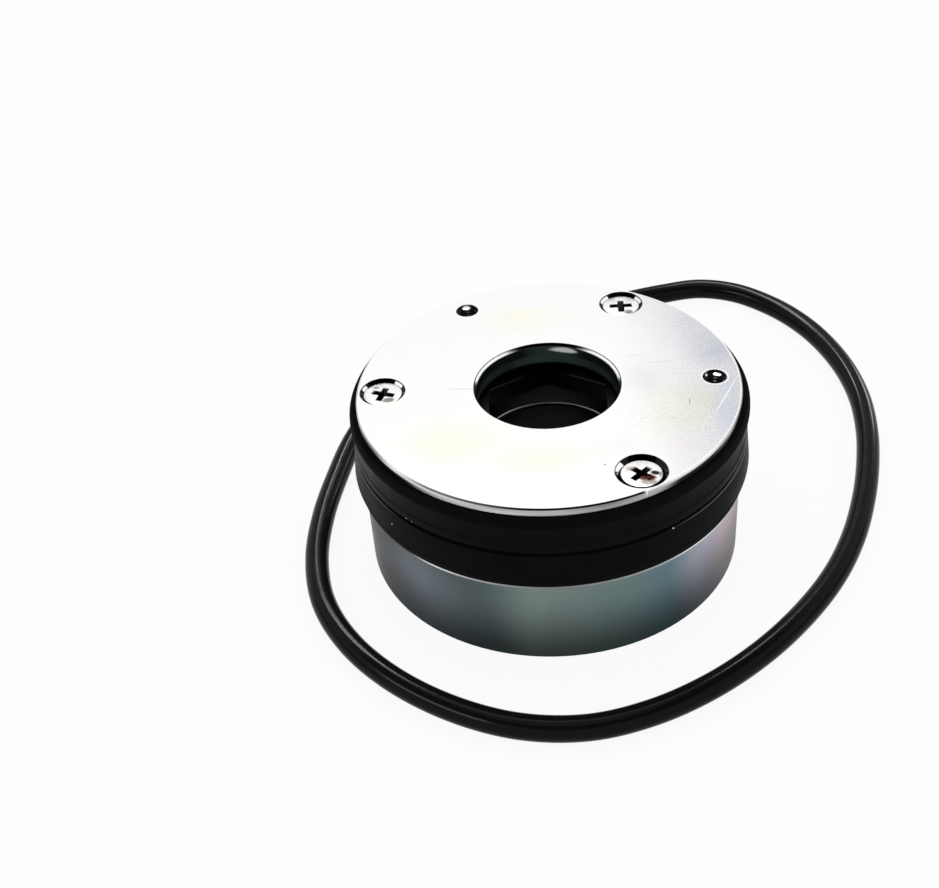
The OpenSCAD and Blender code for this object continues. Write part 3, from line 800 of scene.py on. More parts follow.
def screw_zinc():
    """Bright zinc heads with painted shade in the recesses and a painted dark line round each
    head's rim, darker and brownish dabs, and a brown residue in one of the recesses.
    """
    finish = bpy.context.scene.brake_finish
    material, tree, shader = start("screw_zinc", finish.screw, 1.0, 0.28)
    coords = place(tree)
    z = heights(tree, coords)
    # Painted shade in the recesses, and a painted dark line round each head's rim
    painted_recess_shade = span(tree, z, SCREW_HIGH.z - 0.4 * MM, SCREW_HIGH.z - 0.08 * MM, 1.0, 0.0)
    painted_recess_shade = combine(tree, "MULTIPLY", painted_recess_shade,
                   all_pits(tree, coords, SCREW_ANGLES, SCREW_R, 2.4 * MM))
    face = all_pits(tree, coords, SCREW_ANGLES, SCREW_R, 3.45 * MM)
    painted_recess_shade = combine(tree, "MAXIMUM", painted_recess_shade, combine(tree, "SUBTRACT", 1.0, face))
    tone = mix(tree, painted_recess_shade, tuple(finish.screw), (0.03, 0.028, 0.026))
    brown = spot(tree, coords, Vector((16.0, -27.4, 33.9)) * MM, Vector((2.0, 1.2, 1.2)) * MM, -8)
    patch = combine(tree, "MULTIPLY", span(tree, brown, 0, 0.4),
                    span(tree, noise(tree, coords, 1500, 3, 0.6), 0.3, 0.5))
    tone = mix(tree, patch, tone, (0.10, 0.010, 0.008))
    for centre, size, turn, share, shade in [
            ((-29.2, -2.1, 34.0), (1.5, 1.0, 0.6), 5, 0.85, (0.14, 0.13, 0.10)),
            ((-31.7, 2.0, 34.0), (0.7, 0.35, 0.6), 0, 0.8, (0.08, 0.08, 0.08)),
            ((16.6, 23.9, 34.0), (1.1, 1.0, 0.6), 5, 0.85, (0.17, 0.16, 0.12)),
            ((15.1, 25.9, 33.0), (0.9, 1.6, 1.3), 0, 0.7, (0.05, 0.045, 0.012)),
            ((13.4, -25.0, 34.0), (1.0, 0.8, 0.6), 0, 0.5, (0.42, 0.16, 0.18)),
            ((16.2, -28.7, 34.0), (1.9, 1.1, 0.6), 0, 0.85, (0.26, 0.20, 0.17)),
            ((17.5, -26.3, 34.0), (1.1, 0.7, 0.6), -20, 1.0, (0.02, 0.016, 0.016)),
            ((18.5, -26.6, 34.0), (0.4, 1.2, 0.6), -20, 0.6, (0.30, 0.16, 0.14))]:
        tone = dab(tree, coords, tone, centre, size, shade, share, turn)
    feed(tree, shader, "Base Color", tone)
    grain = noise(tree, coords, 1800, 2, 0.6)
    feed(tree, shader, "Roughness", span(tree, grain, 0.3, 0.7, 0.22, 0.32))
    bump(tree, shader, grain, 0.08, 0.01 * MM)
    return material


def ring_rubber():
    """Moulded black rubber with a dull sheen, a few white specks of dust, and painted highlight
    lines along two of its edges, all round but the front.
    """
    finish = bpy.context.scene.brake_finish
    material, tree, shader = start("ring_rubber", finish.rubber, 0.0, 0.42)
    shader.inputs["Specular IOR Level"].default_value = 0.03
    coords = place(tree)
    cloud = noise(tree, coords, 90, 3, 0.6)
    tone = mix(tree, span(tree, cloud, 0.35, 0.7), tuple(finish.rubber), (0.003, 0.003, 0.0035))
    for centre, size in [((20.3, -30.5, 25.2), 0.26), ((-28.4, -23.5, 22.6), 0.20),
                         ((-28.3, -23.5, 21.9), 0.16), ((-25.4, -26.2, 26.05), 0.22),
                         ((-24.4, -27.2, 26.1), 0.14), ((-24.6, -27.3, 32.7), 0.16)]:
        tone = dab(tree, coords, tone, centre, (size, size, size), (0.55, 0.55, 0.55),
                   soft=(0.1, 0.5))
    z = heights(tree, coords)
    radius = radii(tree, coords)
    # Painted highlights: light lines on the band's top edge and the lip's lower edge, all round
    # but the front
    sides = tone_round(tree, bearing(tree, coords), [
        (-180, 1), (-150, 0.7), (-135, 0), (-60, 0), (-45, 0.6), (-25, 1), (180, 1)])
    for low, out in [(RING_LOW.z + 6.8 * MM, 0.68 * MM), (RING_HIGH.z - 1.76 * MM, 0.42 * MM)]:
        edge = combine(tree, "MULTIPLY", band(tree, z, low, low + 0.14 * MM, 0.05 * MM),
                       span(tree, radius, RING_HIGH.x - out - 0.03 * MM, RING_HIGH.x - out))
        tone = mix(tree, combine(tree, "MULTIPLY", edge, sides), tone, (0.09, 0.09, 0.095))
    feed(tree, shader, "Base Color", tone)
    lip = combine(tree, "ADD", span(tree, z, RING_HIGH.z - 2.0 * MM, RING_HIGH.z - 1.8 * MM),
                  span(tree, z, RING_LOW.z + 1.7 * MM, RING_LOW.z + 2.2 * MM, 1.0, 0.0))
    rough = span(tree, cloud, 0.3, 0.7, 0.36, 0.50)
    feed(tree, shader, "Roughness",
         combine(tree, "ADD", rough, combine(tree, "MULTIPLY", lip, 0.35)))
    skin = noise(tree, coords, 1400, 2, 0.6)
    bump(tree, shader, skin, 0.12, 0.02 * MM)
    return material


def sheath_plastic():
    """Smooth black sheath with a soft sheen and faint waves."""
    finish = bpy.context.scene.brake_finish
    material, tree, shader = start("sheath_plastic", finish.sheath, 0.0, 0.22)
    shader.inputs["Specular IOR Level"].default_value = 0.06
    coords = place(tree)
    skin = noise(tree, coords, 320, 3, 0.55)
    feed(tree, shader, "Roughness", span(tree, skin, 0.3, 0.7, 0.14, 0.18))
    bump(tree, shader, skin, 0.03, 0.03 * MM)
    return material


def gloss_plastic(name, colour):
    """Smooth insulation of a core."""
    material, tree, shader = start(name, colour, 0.0, 0.25)
    skin = noise(tree, place(tree), 500, 2, 0.5)
    feed(tree, shader, "Roughness", span(tree, skin, 0.3, 0.7, 0.2, 0.34))
    return material


def grommet_rubber():
    """Dull black rubber."""
    material, tree, shader = start("grommet_rubber", (0.012, 0.012, 0.013), 0.0, 0.55)
    skin = noise(tree, place(tree), 900, 3, 0.6)
    feed(tree, shader, "Roughness", span(tree, skin, 0.3, 0.7, 0.45, 0.65))
    bump(tree, shader, skin, 0.2, 0.02 * MM)
    return material


def turned_metal(name, colour, roughness, stretch=(1, 1, 120)):
    """Machined metal with fine tool marks, stretched along the cut."""
    material, tree, shader = start(name, colour, 1.0, roughness)
    coords = place(tree)
    cuts = noise(tree, coords, 40, 3, 0.6, stretch)
    darker = tuple(0.72 * part for part in colour)
    feed(tree, shader, "Base Color", mix(tree, span(tree, cuts, 0.3, 0.7), darker, tuple(colour)))
    feed(tree, shader, "Roughness",
         span(tree, cuts, 0.3, 0.7, roughness - 0.07, roughness + 0.07))
    bump(tree, shader, cuts, 0.2, 0.01 * MM)
    return material


def carrier_metal():
    """Metal darkened as painted shade, with painted highlights along the chamfers of its upper
    face, faint at the back.
    """
    dark = (0.025, 0.027, 0.027)
    material, tree, shader = start("carrier_metal", dark, 1.0, 0.3)
    coords = place(tree)
    # Painted highlights along the upper chamfers
    chamfer_highlight = band(tree, heights(tree, coords), CARRIER_HIGH.z - 0.2 * MM,
                CARRIER_HIGH.z - 0.06 * MM, 0.03 * MM)
    sides = tone_round(tree, bearing(tree, coords), [
        (-180, 1), (30, 1), (62, 1), (75, 0.1), (108, 0.1), (122, 0.8), (180, 1)])
    chamfer_highlight = combine(tree, "MULTIPLY", chamfer_highlight, sides)
    feed(tree, shader, "Base Color", mix(tree, chamfer_highlight, dark, (0.12, 0.12, 0.12)))
    feed(tree, shader, "Metallic", span(tree, chamfer_highlight, 0, 1, 1.0, 0.3))
    return material


def friction_compound():
    """Ground friction compound: brownish grey with brass and dark grains."""
    finish = bpy.context.scene.brake_finish
    material, tree, shader = start("friction_compound", finish.lining, 0.0, 0.75)
    coords = place(tree)
    grains = add(tree, "ShaderNodeTexVoronoi", Vector=coords, Scale=1500.0)
    sparse = span(tree, add(tree, "ShaderNodeSeparateColor",
                            Color=grains.outputs["Color"]).outputs["Red"], 0.90, 0.93)
    dark = span(tree, noise(tree, coords, 700, 3, 0.6), 0.4, 0.6)
    tone = mix(tree, dark, tuple(finish.lining), (0.07, 0.06, 0.05))
    tone = mix(tree, sparse, tone, (0.50, 0.36, 0.14))
    feed(tree, shader, "Base Color", tone)
    bump(tree, shader, grains.outputs["Distance"], 0.3, 0.05 * MM)
    return material


def coil_copper():
    """Enamelled copper, slightly uneven in tone."""
    finish = bpy.context.scene.brake_finish
    material, tree, shader = start("coil_copper", finish.copper, 1.0, 0.3)
    shader.inputs["Coat Weight"].default_value = 0.6
    shader.inputs["Coat Roughness"].default_value = 0.12
    cloud = noise(tree, place(tree), 120, 3, 0.6)
    darker = tuple(0.6 * part for part in finish.copper)
    feed(tree, shader, "Base Color",
         mix(tree, span(tree, cloud, 0.3, 0.7), darker, tuple(finish.copper)))
    return material


def cast_resin():
    """Black potting resin with a glossy, slightly uneven face."""
    material, tree, shader = start("cast_resin", (0.012, 0.012, 0.014), 0.0, 0.16)
    coords = place(tree)
    waves = noise(tree, coords, 160, 2, 0.5)
    feed(tree, shader, "Roughness", span(tree, waves, 0.3, 0.7, 0.1, 0.28))
    bump(tree, shader, waves, 0.3, 0.1 * MM)
    return material


def bobbin_nylon():
    """Natural nylon, slightly translucent."""
    material, tree, shader = start("bobbin_nylon", (0.72, 0.69, 0.60), 0.0, 0.5)
    shader.inputs["Subsurface Weight"].default_value = 0.2
    shader.inputs["Subsurface Radius"].default_value = (1 * MM, 0.7 * MM, 0.4 * MM)
    skin = noise(tree, place(tree), 800, 3, 0.6)
    feed(tree, shader, "Roughness", span(tree, skin, 0.3, 0.7, 0.42, 0.58))
    bump(tree, shader, skin, 0.1, 0.02 * MM)
    return material


def smooth_curve(name, route, diameter, material):
    """Round cable along the points of a route in mm, as one open spline."""
    points = [Vector(point) * MM for point in route]
    last = len(points) - 1
    data = bpy.data.curves.new(name, "CURVE")
    data.dimensions = "3D"
    data.resolution_u = 8
    data.bevel_depth = diameter / 2
    data.bevel_resolution = 10
    data.use_fill_caps = True
    spline = data.splines.new("BEZIER")
    spline.bezier_points.add(last)
    for i, knot in enumerate(spline.bezier_points):
        lean = (points[min(i + 1, last)] - points[max(i - 1, 0)]) / 6
        knot.handle_left_type = knot.handle_right_type = "FREE"
        knot.co = points[i]
        knot.handle_left = points[i] - lean
        knot.handle_right = points[i] + lean
    data.materials.append(material)
    return new_object(name, data)


class BRAKE_OT_lead(Operator):
    """The lead, its grommet, and the two cores with their ferrules"""

    bl_idname = "brake.lead"
    bl_label = "Lead"

    def execute(self, context):
        sizes = context.scene.brake_sizes
        sheath = smooth_curve("lead_sheath_run", LEAD_ROUTE, sizes.lead_d, sheath_plastic())
        red = smooth_curve("core_red_run", RED_ROUTE, sizes.core_d,
                           gloss_plastic("core_red_plastic", (0.42, 0.02, 0.015)))
        black = smooth_curve("core_black_run", BLACK_ROUTE, sizes.core_d,
                             gloss_plastic("core_black_plastic", (0.014, 0.014, 0.015)))
        for made, slot, node in [(sheath, "lead_sheath", "lead_cable"),
                                 (red, "core_red", "lead_core_red"),
                                 (black, "core_black", "lead_core_black")]:
            settle(made, "housing", [node])
        ferrules = self.ferrules(sizes.core_d / 2)
        grommet = self.grommet(sizes.lead_d / 2)
        return {"FINISHED"}

    def ferrules(self, core_r):
        """A flared collar and a crimped tube on the end of each core."""
        collar_r = core_r + 0.1 * MM
        tube_r = core_r - 0.1 * MM
        crimp_r = tube_r - 0.12 * MM
        both = bmesh.new()
        for route in [RED_ROUTE, BLACK_ROUTE]:
            end = Vector(route[-1]) * MM
            heading = end - Vector(route[-2]) * MM
            one = spun_solid([
                (0, 0), (collar_r, 0), (collar_r, 2.6 * MM), (tube_r, 3 * MM),
                (tube_r, 4.2 * MM), (crimp_r, 4.5 * MM), (crimp_r, 5.3 * MM),
                (tube_r, 5.6 * MM), (tube_r, 6.2 * MM), (crimp_r, 6.5 * MM),
                (crimp_r, 7.3 * MM), (tube_r, 7.6 * MM), (tube_r, 9 * MM),
                (tube_r - 0.1 * MM, 9 * MM), (tube_r - 0.1 * MM, 8.8 * MM), (0, 8.8 * MM)], 32)
            lie = Matrix.Translation(end) @ heading.to_track_quat("Z", "Y").to_matrix().to_4x4()
            join(both, moved(one, lie))
        return piece(both, "crimped_ferrules", "housing",
                     turned_metal("tinned_copper", (0.72, 0.72, 0.70), 0.3, (1, 1, 1)),
                     ["core_ferrules"])

    def grommet(self, lead_r):
        """Flanged rubber bush with shallow grooves round its taper."""
        inner = lead_r + 0.05 * MM
        start_y = GROMMET_LOW.y
        neck = inner + 1.05 * MM
        flange_r = GROMMET_HIGH.x
        flange_y = BODY_R + 1.2 * MM
        end_y = GROMMET_HIGH.y
        root = inner + 1.6 * MM
        tip = inner + 0.6 * MM
        corners = [(inner, start_y, 0), (neck, start_y, 0.2 * MM), (neck, BODY_R, 0),
                   (flange_r, BODY_R, 0), (flange_r, flange_y, 0.4 * MM), (root, flange_y, 0)]
        ribs = 4
        pitch = (end_y - flange_y) / ribs
        for i in range(ribs - 1):
            low = flange_y + pitch * i
            out = root + (tip - root) * (i + 1) / ribs
            corners += [(out, low + pitch * 0.72, 0.08 * MM),
                        (out - 0.25 * MM, low + pitch * 0.78, 0),
                        (out - 0.25 * MM, low + pitch * 0.94, 0)]
        corners += [(tip, end_y, 0.2 * MM), (inner, end_y, 0)]
        stand = Matrix.Translation((0, 0, EXIT_Z)) @ Matrix.Rotation(-math.pi / 2, 4, "X")
        return piece(moved(spun(corners, 64), stand), "ribbed_grommet", "housing",
                     grommet_rubber(), ["lead_grommet"])


class BRAKE_OT_cover_ring(Operator):
    """The moulded rubber ring between the end plate and the magnet body"""

    bl_idname = "brake.cover_ring"
    bl_label = "Cover Ring"

    def execute(self, context):
        low = RING_LOW.z
        high = RING_HIGH.z
        widest = RING_HIGH.x
        waist = widest - 0.7 * MM
        bead = waist + 0.35 * MM
        fine = waist + 0.1 * MM
        groove = waist - 0.3 * MM
        band_top = low + 6.95 * MM
        groove_top = band_top + 0.7 * MM
        fine_top = groove_top + 1.45 * MM
        lip = high - 1.75 * MM
        ring = spun([
            (SEAT_R, low, 0),
            (widest - 0.5 * MM, low, 0.1 * MM),
            (widest, low + 1.7 * MM, 0.25 * MM),
            (widest - 0.5 * MM, band_top, 0.15 * MM),
            (groove, band_top, 0.05 * MM),
            (groove, groove_top, 0.05 * MM),
            (fine, groove_top, 0.1 * MM),
            (fine, fine_top, 0.08 * MM),
            (waist, fine_top + 0.2 * MM, 0.08 * MM),
            (waist, lip, 0.1 * MM),
            (bead, lip, 0.15 * MM),
            (bead - 0.05 * MM, high - 0.8 * MM, 0.15 * MM),
            (bead - 0.45 * MM, high, 0.2 * MM),
            (SEAT_R, high, 0)], 256)
        piece(ring, "moulded_cover_ring", "housing", ring_rubber(),
              ["cover_ring"], math.radians(50))
        return {"FINISHED"}


class BRAKE_OT_end_plate(Operator):
    """The end plate with its bore, three countersinks and two tapped holes"""

    bl_idname = "brake.end_plate"
    bl_label = "End Plate"

    def execute(self, context):
        sizes = context.scene.brake_sizes
        rim = 0.2 * MM
        mouth = 0.5 * MM
        rebate_z = RING_HIGH.z
        plate = spun([
            (BORE_R, PLATE_Z, 0), (SEAT_R, PLATE_Z, 0), (SEAT_R, rebate_z, 0),
            (PLATE_R, rebate_z, 0.1 * MM), (PLATE_R, TOP_Z - rim, 0), (PLATE_R - rim, TOP_Z, 0),
            (BORE_R + mouth, TOP_Z, 0), (BORE_R, TOP_Z - mouth, 0.25 * MM)], 256)
        plate = carved(plate, [self.countersink(a) for a in SCREW_ANGLES]
                       + [self.tapped_hole(a, sizes.thread_d / 2) for a in FIXING_ANGLES])
        material = zinc_plate()
        piece(plate, "turned_end_plate", "housing", material, ["end_plate"])
        self.threads(sizes, material)
        return {"FINISHED"}

    def countersink(self, angle):
        """Cutter of one screw's clearance hole and countersink."""
        hole_r = 2.15 * MM
        sink_r = (4.6 if angle == WIDE_SINK else 4.3) * MM
        over = 1 * MM
        cutter = spun_solid([
            (0, PLATE_Z - over), (hole_r, PLATE_Z - over),
            (hole_r, TOP_Z - (sink_r - hole_r)), (sink_r, TOP_Z), (sink_r, TOP_Z + over),
            (0, TOP_Z + over)], 96)
        return moved(cutter, polar(angle, SCREW_R))

    def tapped_hole(self, angle, radius):
        """Cutter of one fixing hole, as wide as its thread's roots."""
        mouth_r = 2.25 * MM
        over = 1 * MM
        cutter = spun_solid([
            (0, PLATE_Z - over), (radius, PLATE_Z - over), (radius, TOP_Z - (mouth_r - radius)),
            (mouth_r, TOP_Z), (mouth_r, TOP_Z + over), (0, TOP_Z + over)], 64)
        return moved(cutter, polar(angle, FIXING_R))

    def threads(self, sizes, material):
        """The ridges of the thread inside both tapped holes."""
        outer = sizes.thread_d / 2 + 0.03 * MM
        crest = 1.65 * MM
        pitch = sizes.thread_pitch
        turns = int((TOP_Z - PLATE_Z - 0.5 * MM) / pitch)
        both = bmesh.new()
        for angle in FIXING_ANGLES:
            one = ridge(outer, crest, PLATE_Z + 0.25 * MM, pitch, turns)
            join(both, moved(one, polar(angle, FIXING_R)))
        piece(both, "tapped_threads", "housing", material)


class BRAKE_OT_plate_screws(Operator):
    """The three countersunk screws with their cross recesses and threads"""

    bl_idname = "brake.plate_screws"
    bl_label = "Plate Screws"

    def execute(self, context):
        sizes = context.scene.brake_sizes
        three = bmesh.new()
        for angle, turn in zip(SCREW_ANGLES, RECESS_TURNS):
            twist = Matrix.Rotation(math.radians(turn), 4, "Z")
            stand = polar(angle, SCREW_R, SCREW_HIGH.z) @ twist
            for part in [self.blank(sizes), self.thread(sizes)]:
                join(three, moved(part, stand))
        piece(three, "cross_recess_screws", "housing", screw_zinc(),
              ["plate_screws"])
        self.residue()
        return {"FINISHED"}

    def residue(self):
        """Lumps of dried thread lock in the lower right arm of one recess."""
        lumps = bmesh.new()
        for x, y, w, d in [(15.5, -27.1, 0.6, 0.45), (16.2, -27.35, 0.75, 0.6),
                           (16.9, -27.25, 0.6, 0.45)]:
            ball = bmesh.new()
            bmesh.ops.create_icosphere(ball, subdivisions=3, radius=MM)
            bmesh.ops.scale(ball, vec=(w, d, 0.5), verts=ball.verts)
            bmesh.ops.translate(ball, vec=(x * MM, y * MM, SCREW_HIGH.z - 0.5 * MM),
                                verts=ball.verts)
            join(lumps, ball)
        brown = (0.11, 0.008, 0.006)
        material, tree, shader = start("dried_lock", brown, 0.0, 0.4)
        shader.inputs["Specular IOR Level"].default_value = 0.15
        grain = noise(tree, place(tree), 2200, 3, 0.6)
        feed(tree, shader, "Base Color",
             mix(tree, span(tree, grain, 0.4, 0.6), brown, (0.012, 0.004, 0.004)))
        bump(tree, shader, grain, 0.6, 0.15 * MM)
        piece(lumps, "lock_residue", "housing", material)

    def blank(self, sizes):
        """Head and shank with its top at the origin, and the recess cut into it."""
        head_r = sizes.head_d / 2
        shank_r = sizes.thread_d / 2 - 0.45 * MM
        rim = 0.15 * MM
        length = SCREW_HIGH.z - SCREW_LOW.z
        bm = spun_solid([
            (0, -length), (shank_r - 0.5 * MM, -length), (shank_r, -length + 0.5 * MM),
            (shank_r, -rim - head_r + shank_r), (head_r, -rim), (head_r - 0.07 * MM, -0.05 * MM),
            (head_r - 0.22 * MM, 0), (0, 0)], 96)
        return carved(bm, self.recess(sizes.recess_depth))

    def recess(self, depth):
        """Two crossed tapering wings and a pointed middle."""
        wing_l = 4.7 * MM
        wing_w = 1.25 * MM
        over = 0.2 * MM
        cutters = []
        for turn in [0, 90]:
            wing = bmesh.new()
            bmesh.ops.create_cube(wing, size=1)
            bmesh.ops.scale(wing, vec=(wing_l, wing_w, depth + over), verts=wing.verts)
            bmesh.ops.translate(wing, vec=(0, 0, (over - depth) / 2), verts=wing.verts)
            foot = [v for v in wing.verts if v.co.z < 0]
            bmesh.ops.scale(wing, vec=(0.5, 0.8, 1), verts=foot)
            uprights = [e for e in wing.edges
                        if abs(e.verts[0].co.z - e.verts[1].co.z) > depth / 2]
            bmesh.ops.bevel(wing, geom=uprights, offset=0.12 * MM, offset_type="OFFSET",
                            affect="EDGES", segments=2, profile=0.5, material=-1)
            cutters.append(moved(wing, Matrix.Rotation(math.radians(turn), 4, "Z")))
        middle = bmesh.new()
        bmesh.ops.create_cone(middle, cap_ends=True, segments=24, radius1=0.35 * MM,
                              radius2=1.0 * MM, depth=depth + over)
        bmesh.ops.translate(middle, vec=(0, 0, (over - depth) / 2), verts=middle.verts)
        cutters.append(middle)
        return cutters

    def thread(self, sizes):
        """The ridge of a screw's thread, from its tip up."""
        crest = sizes.thread_d / 2
        root = crest - 0.47 * MM
        pitch = sizes.thread_pitch
        length = SCREW_HIGH.z - SCREW_LOW.z
        turns = int((length - 4.2 * MM) / pitch)
        return ridge(root, crest, -length + 0.35 * MM, pitch, turns)


class BRAKE_OT_magnet_body(Operator):
    """The body's bright shoulder, and the finishes of body, sleeves and armature plate"""

    bl_idname = "brake.magnet_body"
    bl_label = "Magnet Body"

    def execute(self, context):
        finish = context.scene.brake_finish
        paint("magnet_body", zinc_body())
        inner = BODY_R - 0.05 * MM
        outer = RING_HIGH.x - 0.55 * MM
        high = RING_LOW.z - 0.02 * MM
        shoulder = spun([
            (inner, high - 0.6 * MM, 0), (outer, high - 0.38 * MM, 0.05 * MM),
            (outer, high, 0.05 * MM), (inner, high, 0)], 256)
        piece(shoulder, "body_shoulder", "housing", bright_shoulder())
        # The armature plate's steel, made near black as painted shade
        paint("armature_plate",
              turned_metal("steel_darkened_as_shade", tuple(finish.armature), 0.36, (60, 1, 60)))
        sleeve = turned_metal("sleeve_steel", tuple(finish.steel), 0.3)
        for number in [1, 2, 3]:
            paint(f"spacer_sleeve_{number}", sleeve)
        return {"FINISHED"}


class BRAKE_OT_rotor(Operator):
    """The rotor carrier with its hexagon bore, and the two friction linings"""

    bl_idname = "brake.rotor"
    bl_label = "Rotor"

    def execute(self, context):
        self.carrier()
        compound = friction_compound()
        paint("lining_front", compound)
        paint("lining_rear", compound)
        return {"FINISHED"}

    def carrier(self):
        """Hub, web and hexagon bore as one machined piece."""
        boss_r = 15.3 * MM
        web_r = CARRIER_HIGH.x
        web_low = 26.4 * MM
        web_high = 28.6 * MM
        low = CARRIER_LOW.z
        high = CARRIER_HIGH.z
        hub = spun_solid([
            (0, low), (boss_r - 0.3 * MM, low), (boss_r, low + 0.3 * MM), (boss_r, web_low),
            (web_r, web_low), (web_r, web_high), (boss_r, web_high), (boss_r, high - 0.3 * MM),
            (boss_r - 0.3 * MM, high), (0, high)], 192)
        piece(carved(hub, self.hexagon(low, high)), "machined_carrier", "rotor",
              carrier_metal(), ["rotor_carrier"], math.radians(20))

    def hexagon(self, low, high):
        """The bore, and a small chamfer at both of its mouths."""
        corner_r = HEXAGON_AF / 2 / math.cos(math.radians(30))
        edge = 0.25 * MM
        over = 1 * MM
        cutters = []
        for middle, depth, r_low, r_high in [
                ((low + high) / 2, high - low + 2 * over, corner_r, corner_r),
                (high, 2 * edge, corner_r - edge, corner_r + edge),
                (low, 2 * edge, corner_r + edge, corner_r - edge)]:
            cutter = bmesh.new()
            bmesh.ops.create_cone(cutter, cap_ends=True, segments=6, radius1=r_low,
                                  radius2=r_high, depth=depth)
            bmesh.ops.translate(cutter, vec=(0, 0, middle), verts=cutter.verts)
            cutters.append(cutter)
        return cutters


class BRAKE_OT_torque_springs(Operator):
    """The six torque springs, with closed and ground end turns"""

    bl_idname = "brake.torque_springs"
    bl_label = "Torque Springs"

    def execute(self, context):
        sizes = context.scene.brake_sizes
        wire = turned_metal("spring_wire", (0.40, 0.40, 0.39), 0.3, (1, 1, 1))
        spring_d = SPRING_HIGH.y - SPRING_LOW.y
        low = SPRING_SEAT_Z
        high = ARMATURE_Z
        for number, angle in enumerate(SPRING_ANGLES, 1):
            coil = self.coil(spring_d / 2, low, high, sizes.spring_wire, sizes.spring_turns)
            made = piece(moved(coil, polar(angle, SPRING_R)), f"ground_spring_{number}",
                         "housing", wire, [f"torque_spring_{number}"],
                         math.radians(50))
            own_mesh(made)
        return {"FINISHED"}

    def coil(self, outer_r, low, high, wire, turns):
        """One spring: open turns between two closed ones, both ends ground flat."""
        steps = 32
        gap = 0.02 * MM
        closed = wire + gap
        start_z = low + gap + wire * 0.3
        end_z = high - gap - wire * 0.3
        open_pitch = (end_z - start_z - 2 * closed) / (turns - 2)
        bm = bmesh.new()
        bmesh.ops.create_circle(bm, segments=12, radius=wire / 2)
        across = Matrix.Translation((outer_r - wire / 2, 0, start_z)) @ Matrix.Rotation(
            math.pi / 2, 4, "X")
        moved(bm, across)
        ring = list(bm.verts) + list(bm.edges)
        for pitch, count in [(closed, 1), (open_pitch, turns - 2), (closed, 1)]:
            ring = helix(bm, ring, pitch, count, steps)
        close_ends(bm)
        for z, up in [(low + gap, -1), (high - gap, 1)]:
            cut = bmesh.ops.bisect_plane(
                bm, geom=list(bm.verts) + list(bm.edges) + list(bm.faces), dist=MERGE,
                plane_co=(0, 0, z), plane_no=(0, 0, up), clear_outer=True)["geom_cut"]
            edges = [e for e in cut if isinstance(e, bmesh.types.BMEdge)]
            bmesh.ops.edgenet_fill(bm, edges=edges)
        bmesh.ops.recalc_face_normals(bm, faces=bm.faces)
        return bm


class BRAKE_OT_coil(Operator):
    """The winding turn by turn, and the finishes of its bobbin, tails and resin"""

    bl_idname = "brake.coil"
    bl_label = "Coil"

    def execute(self, context):
        wire = context.scene.brake_sizes.winding_wire
        inner = 21.5 * MM
        outer = WINDING_HIGH.x
        low = WINDING_LOW.z
        high = WINDING_HIGH.z
        turns = int((high - low) / wire)
        pitch = (high - low) / turns
        corners = [(inner, low, 0)]
        for i in range(turns):
            z = low + pitch * i
            corners += [(outer - 0.12 * MM, z, 0), (outer - 0.03 * MM, z + 0.2 * pitch, 0),
                        (outer, z + 0.5 * pitch, 0), (outer - 0.03 * MM, z + 0.8 * pitch, 0)]
        corners += [(outer - 0.12 * MM, high, 0), (inner, high, 0)]
        copper = coil_copper()
        piece(spun(corners, 96), "wound_coil", "housing", copper,
              ["coil_winding"], math.radians(60))
        paint("coil_leads", copper)
        paint("coil_bobbin", bobbin_nylon())
        paint("potting_resin", cast_resin())
        return {"FINISHED"}


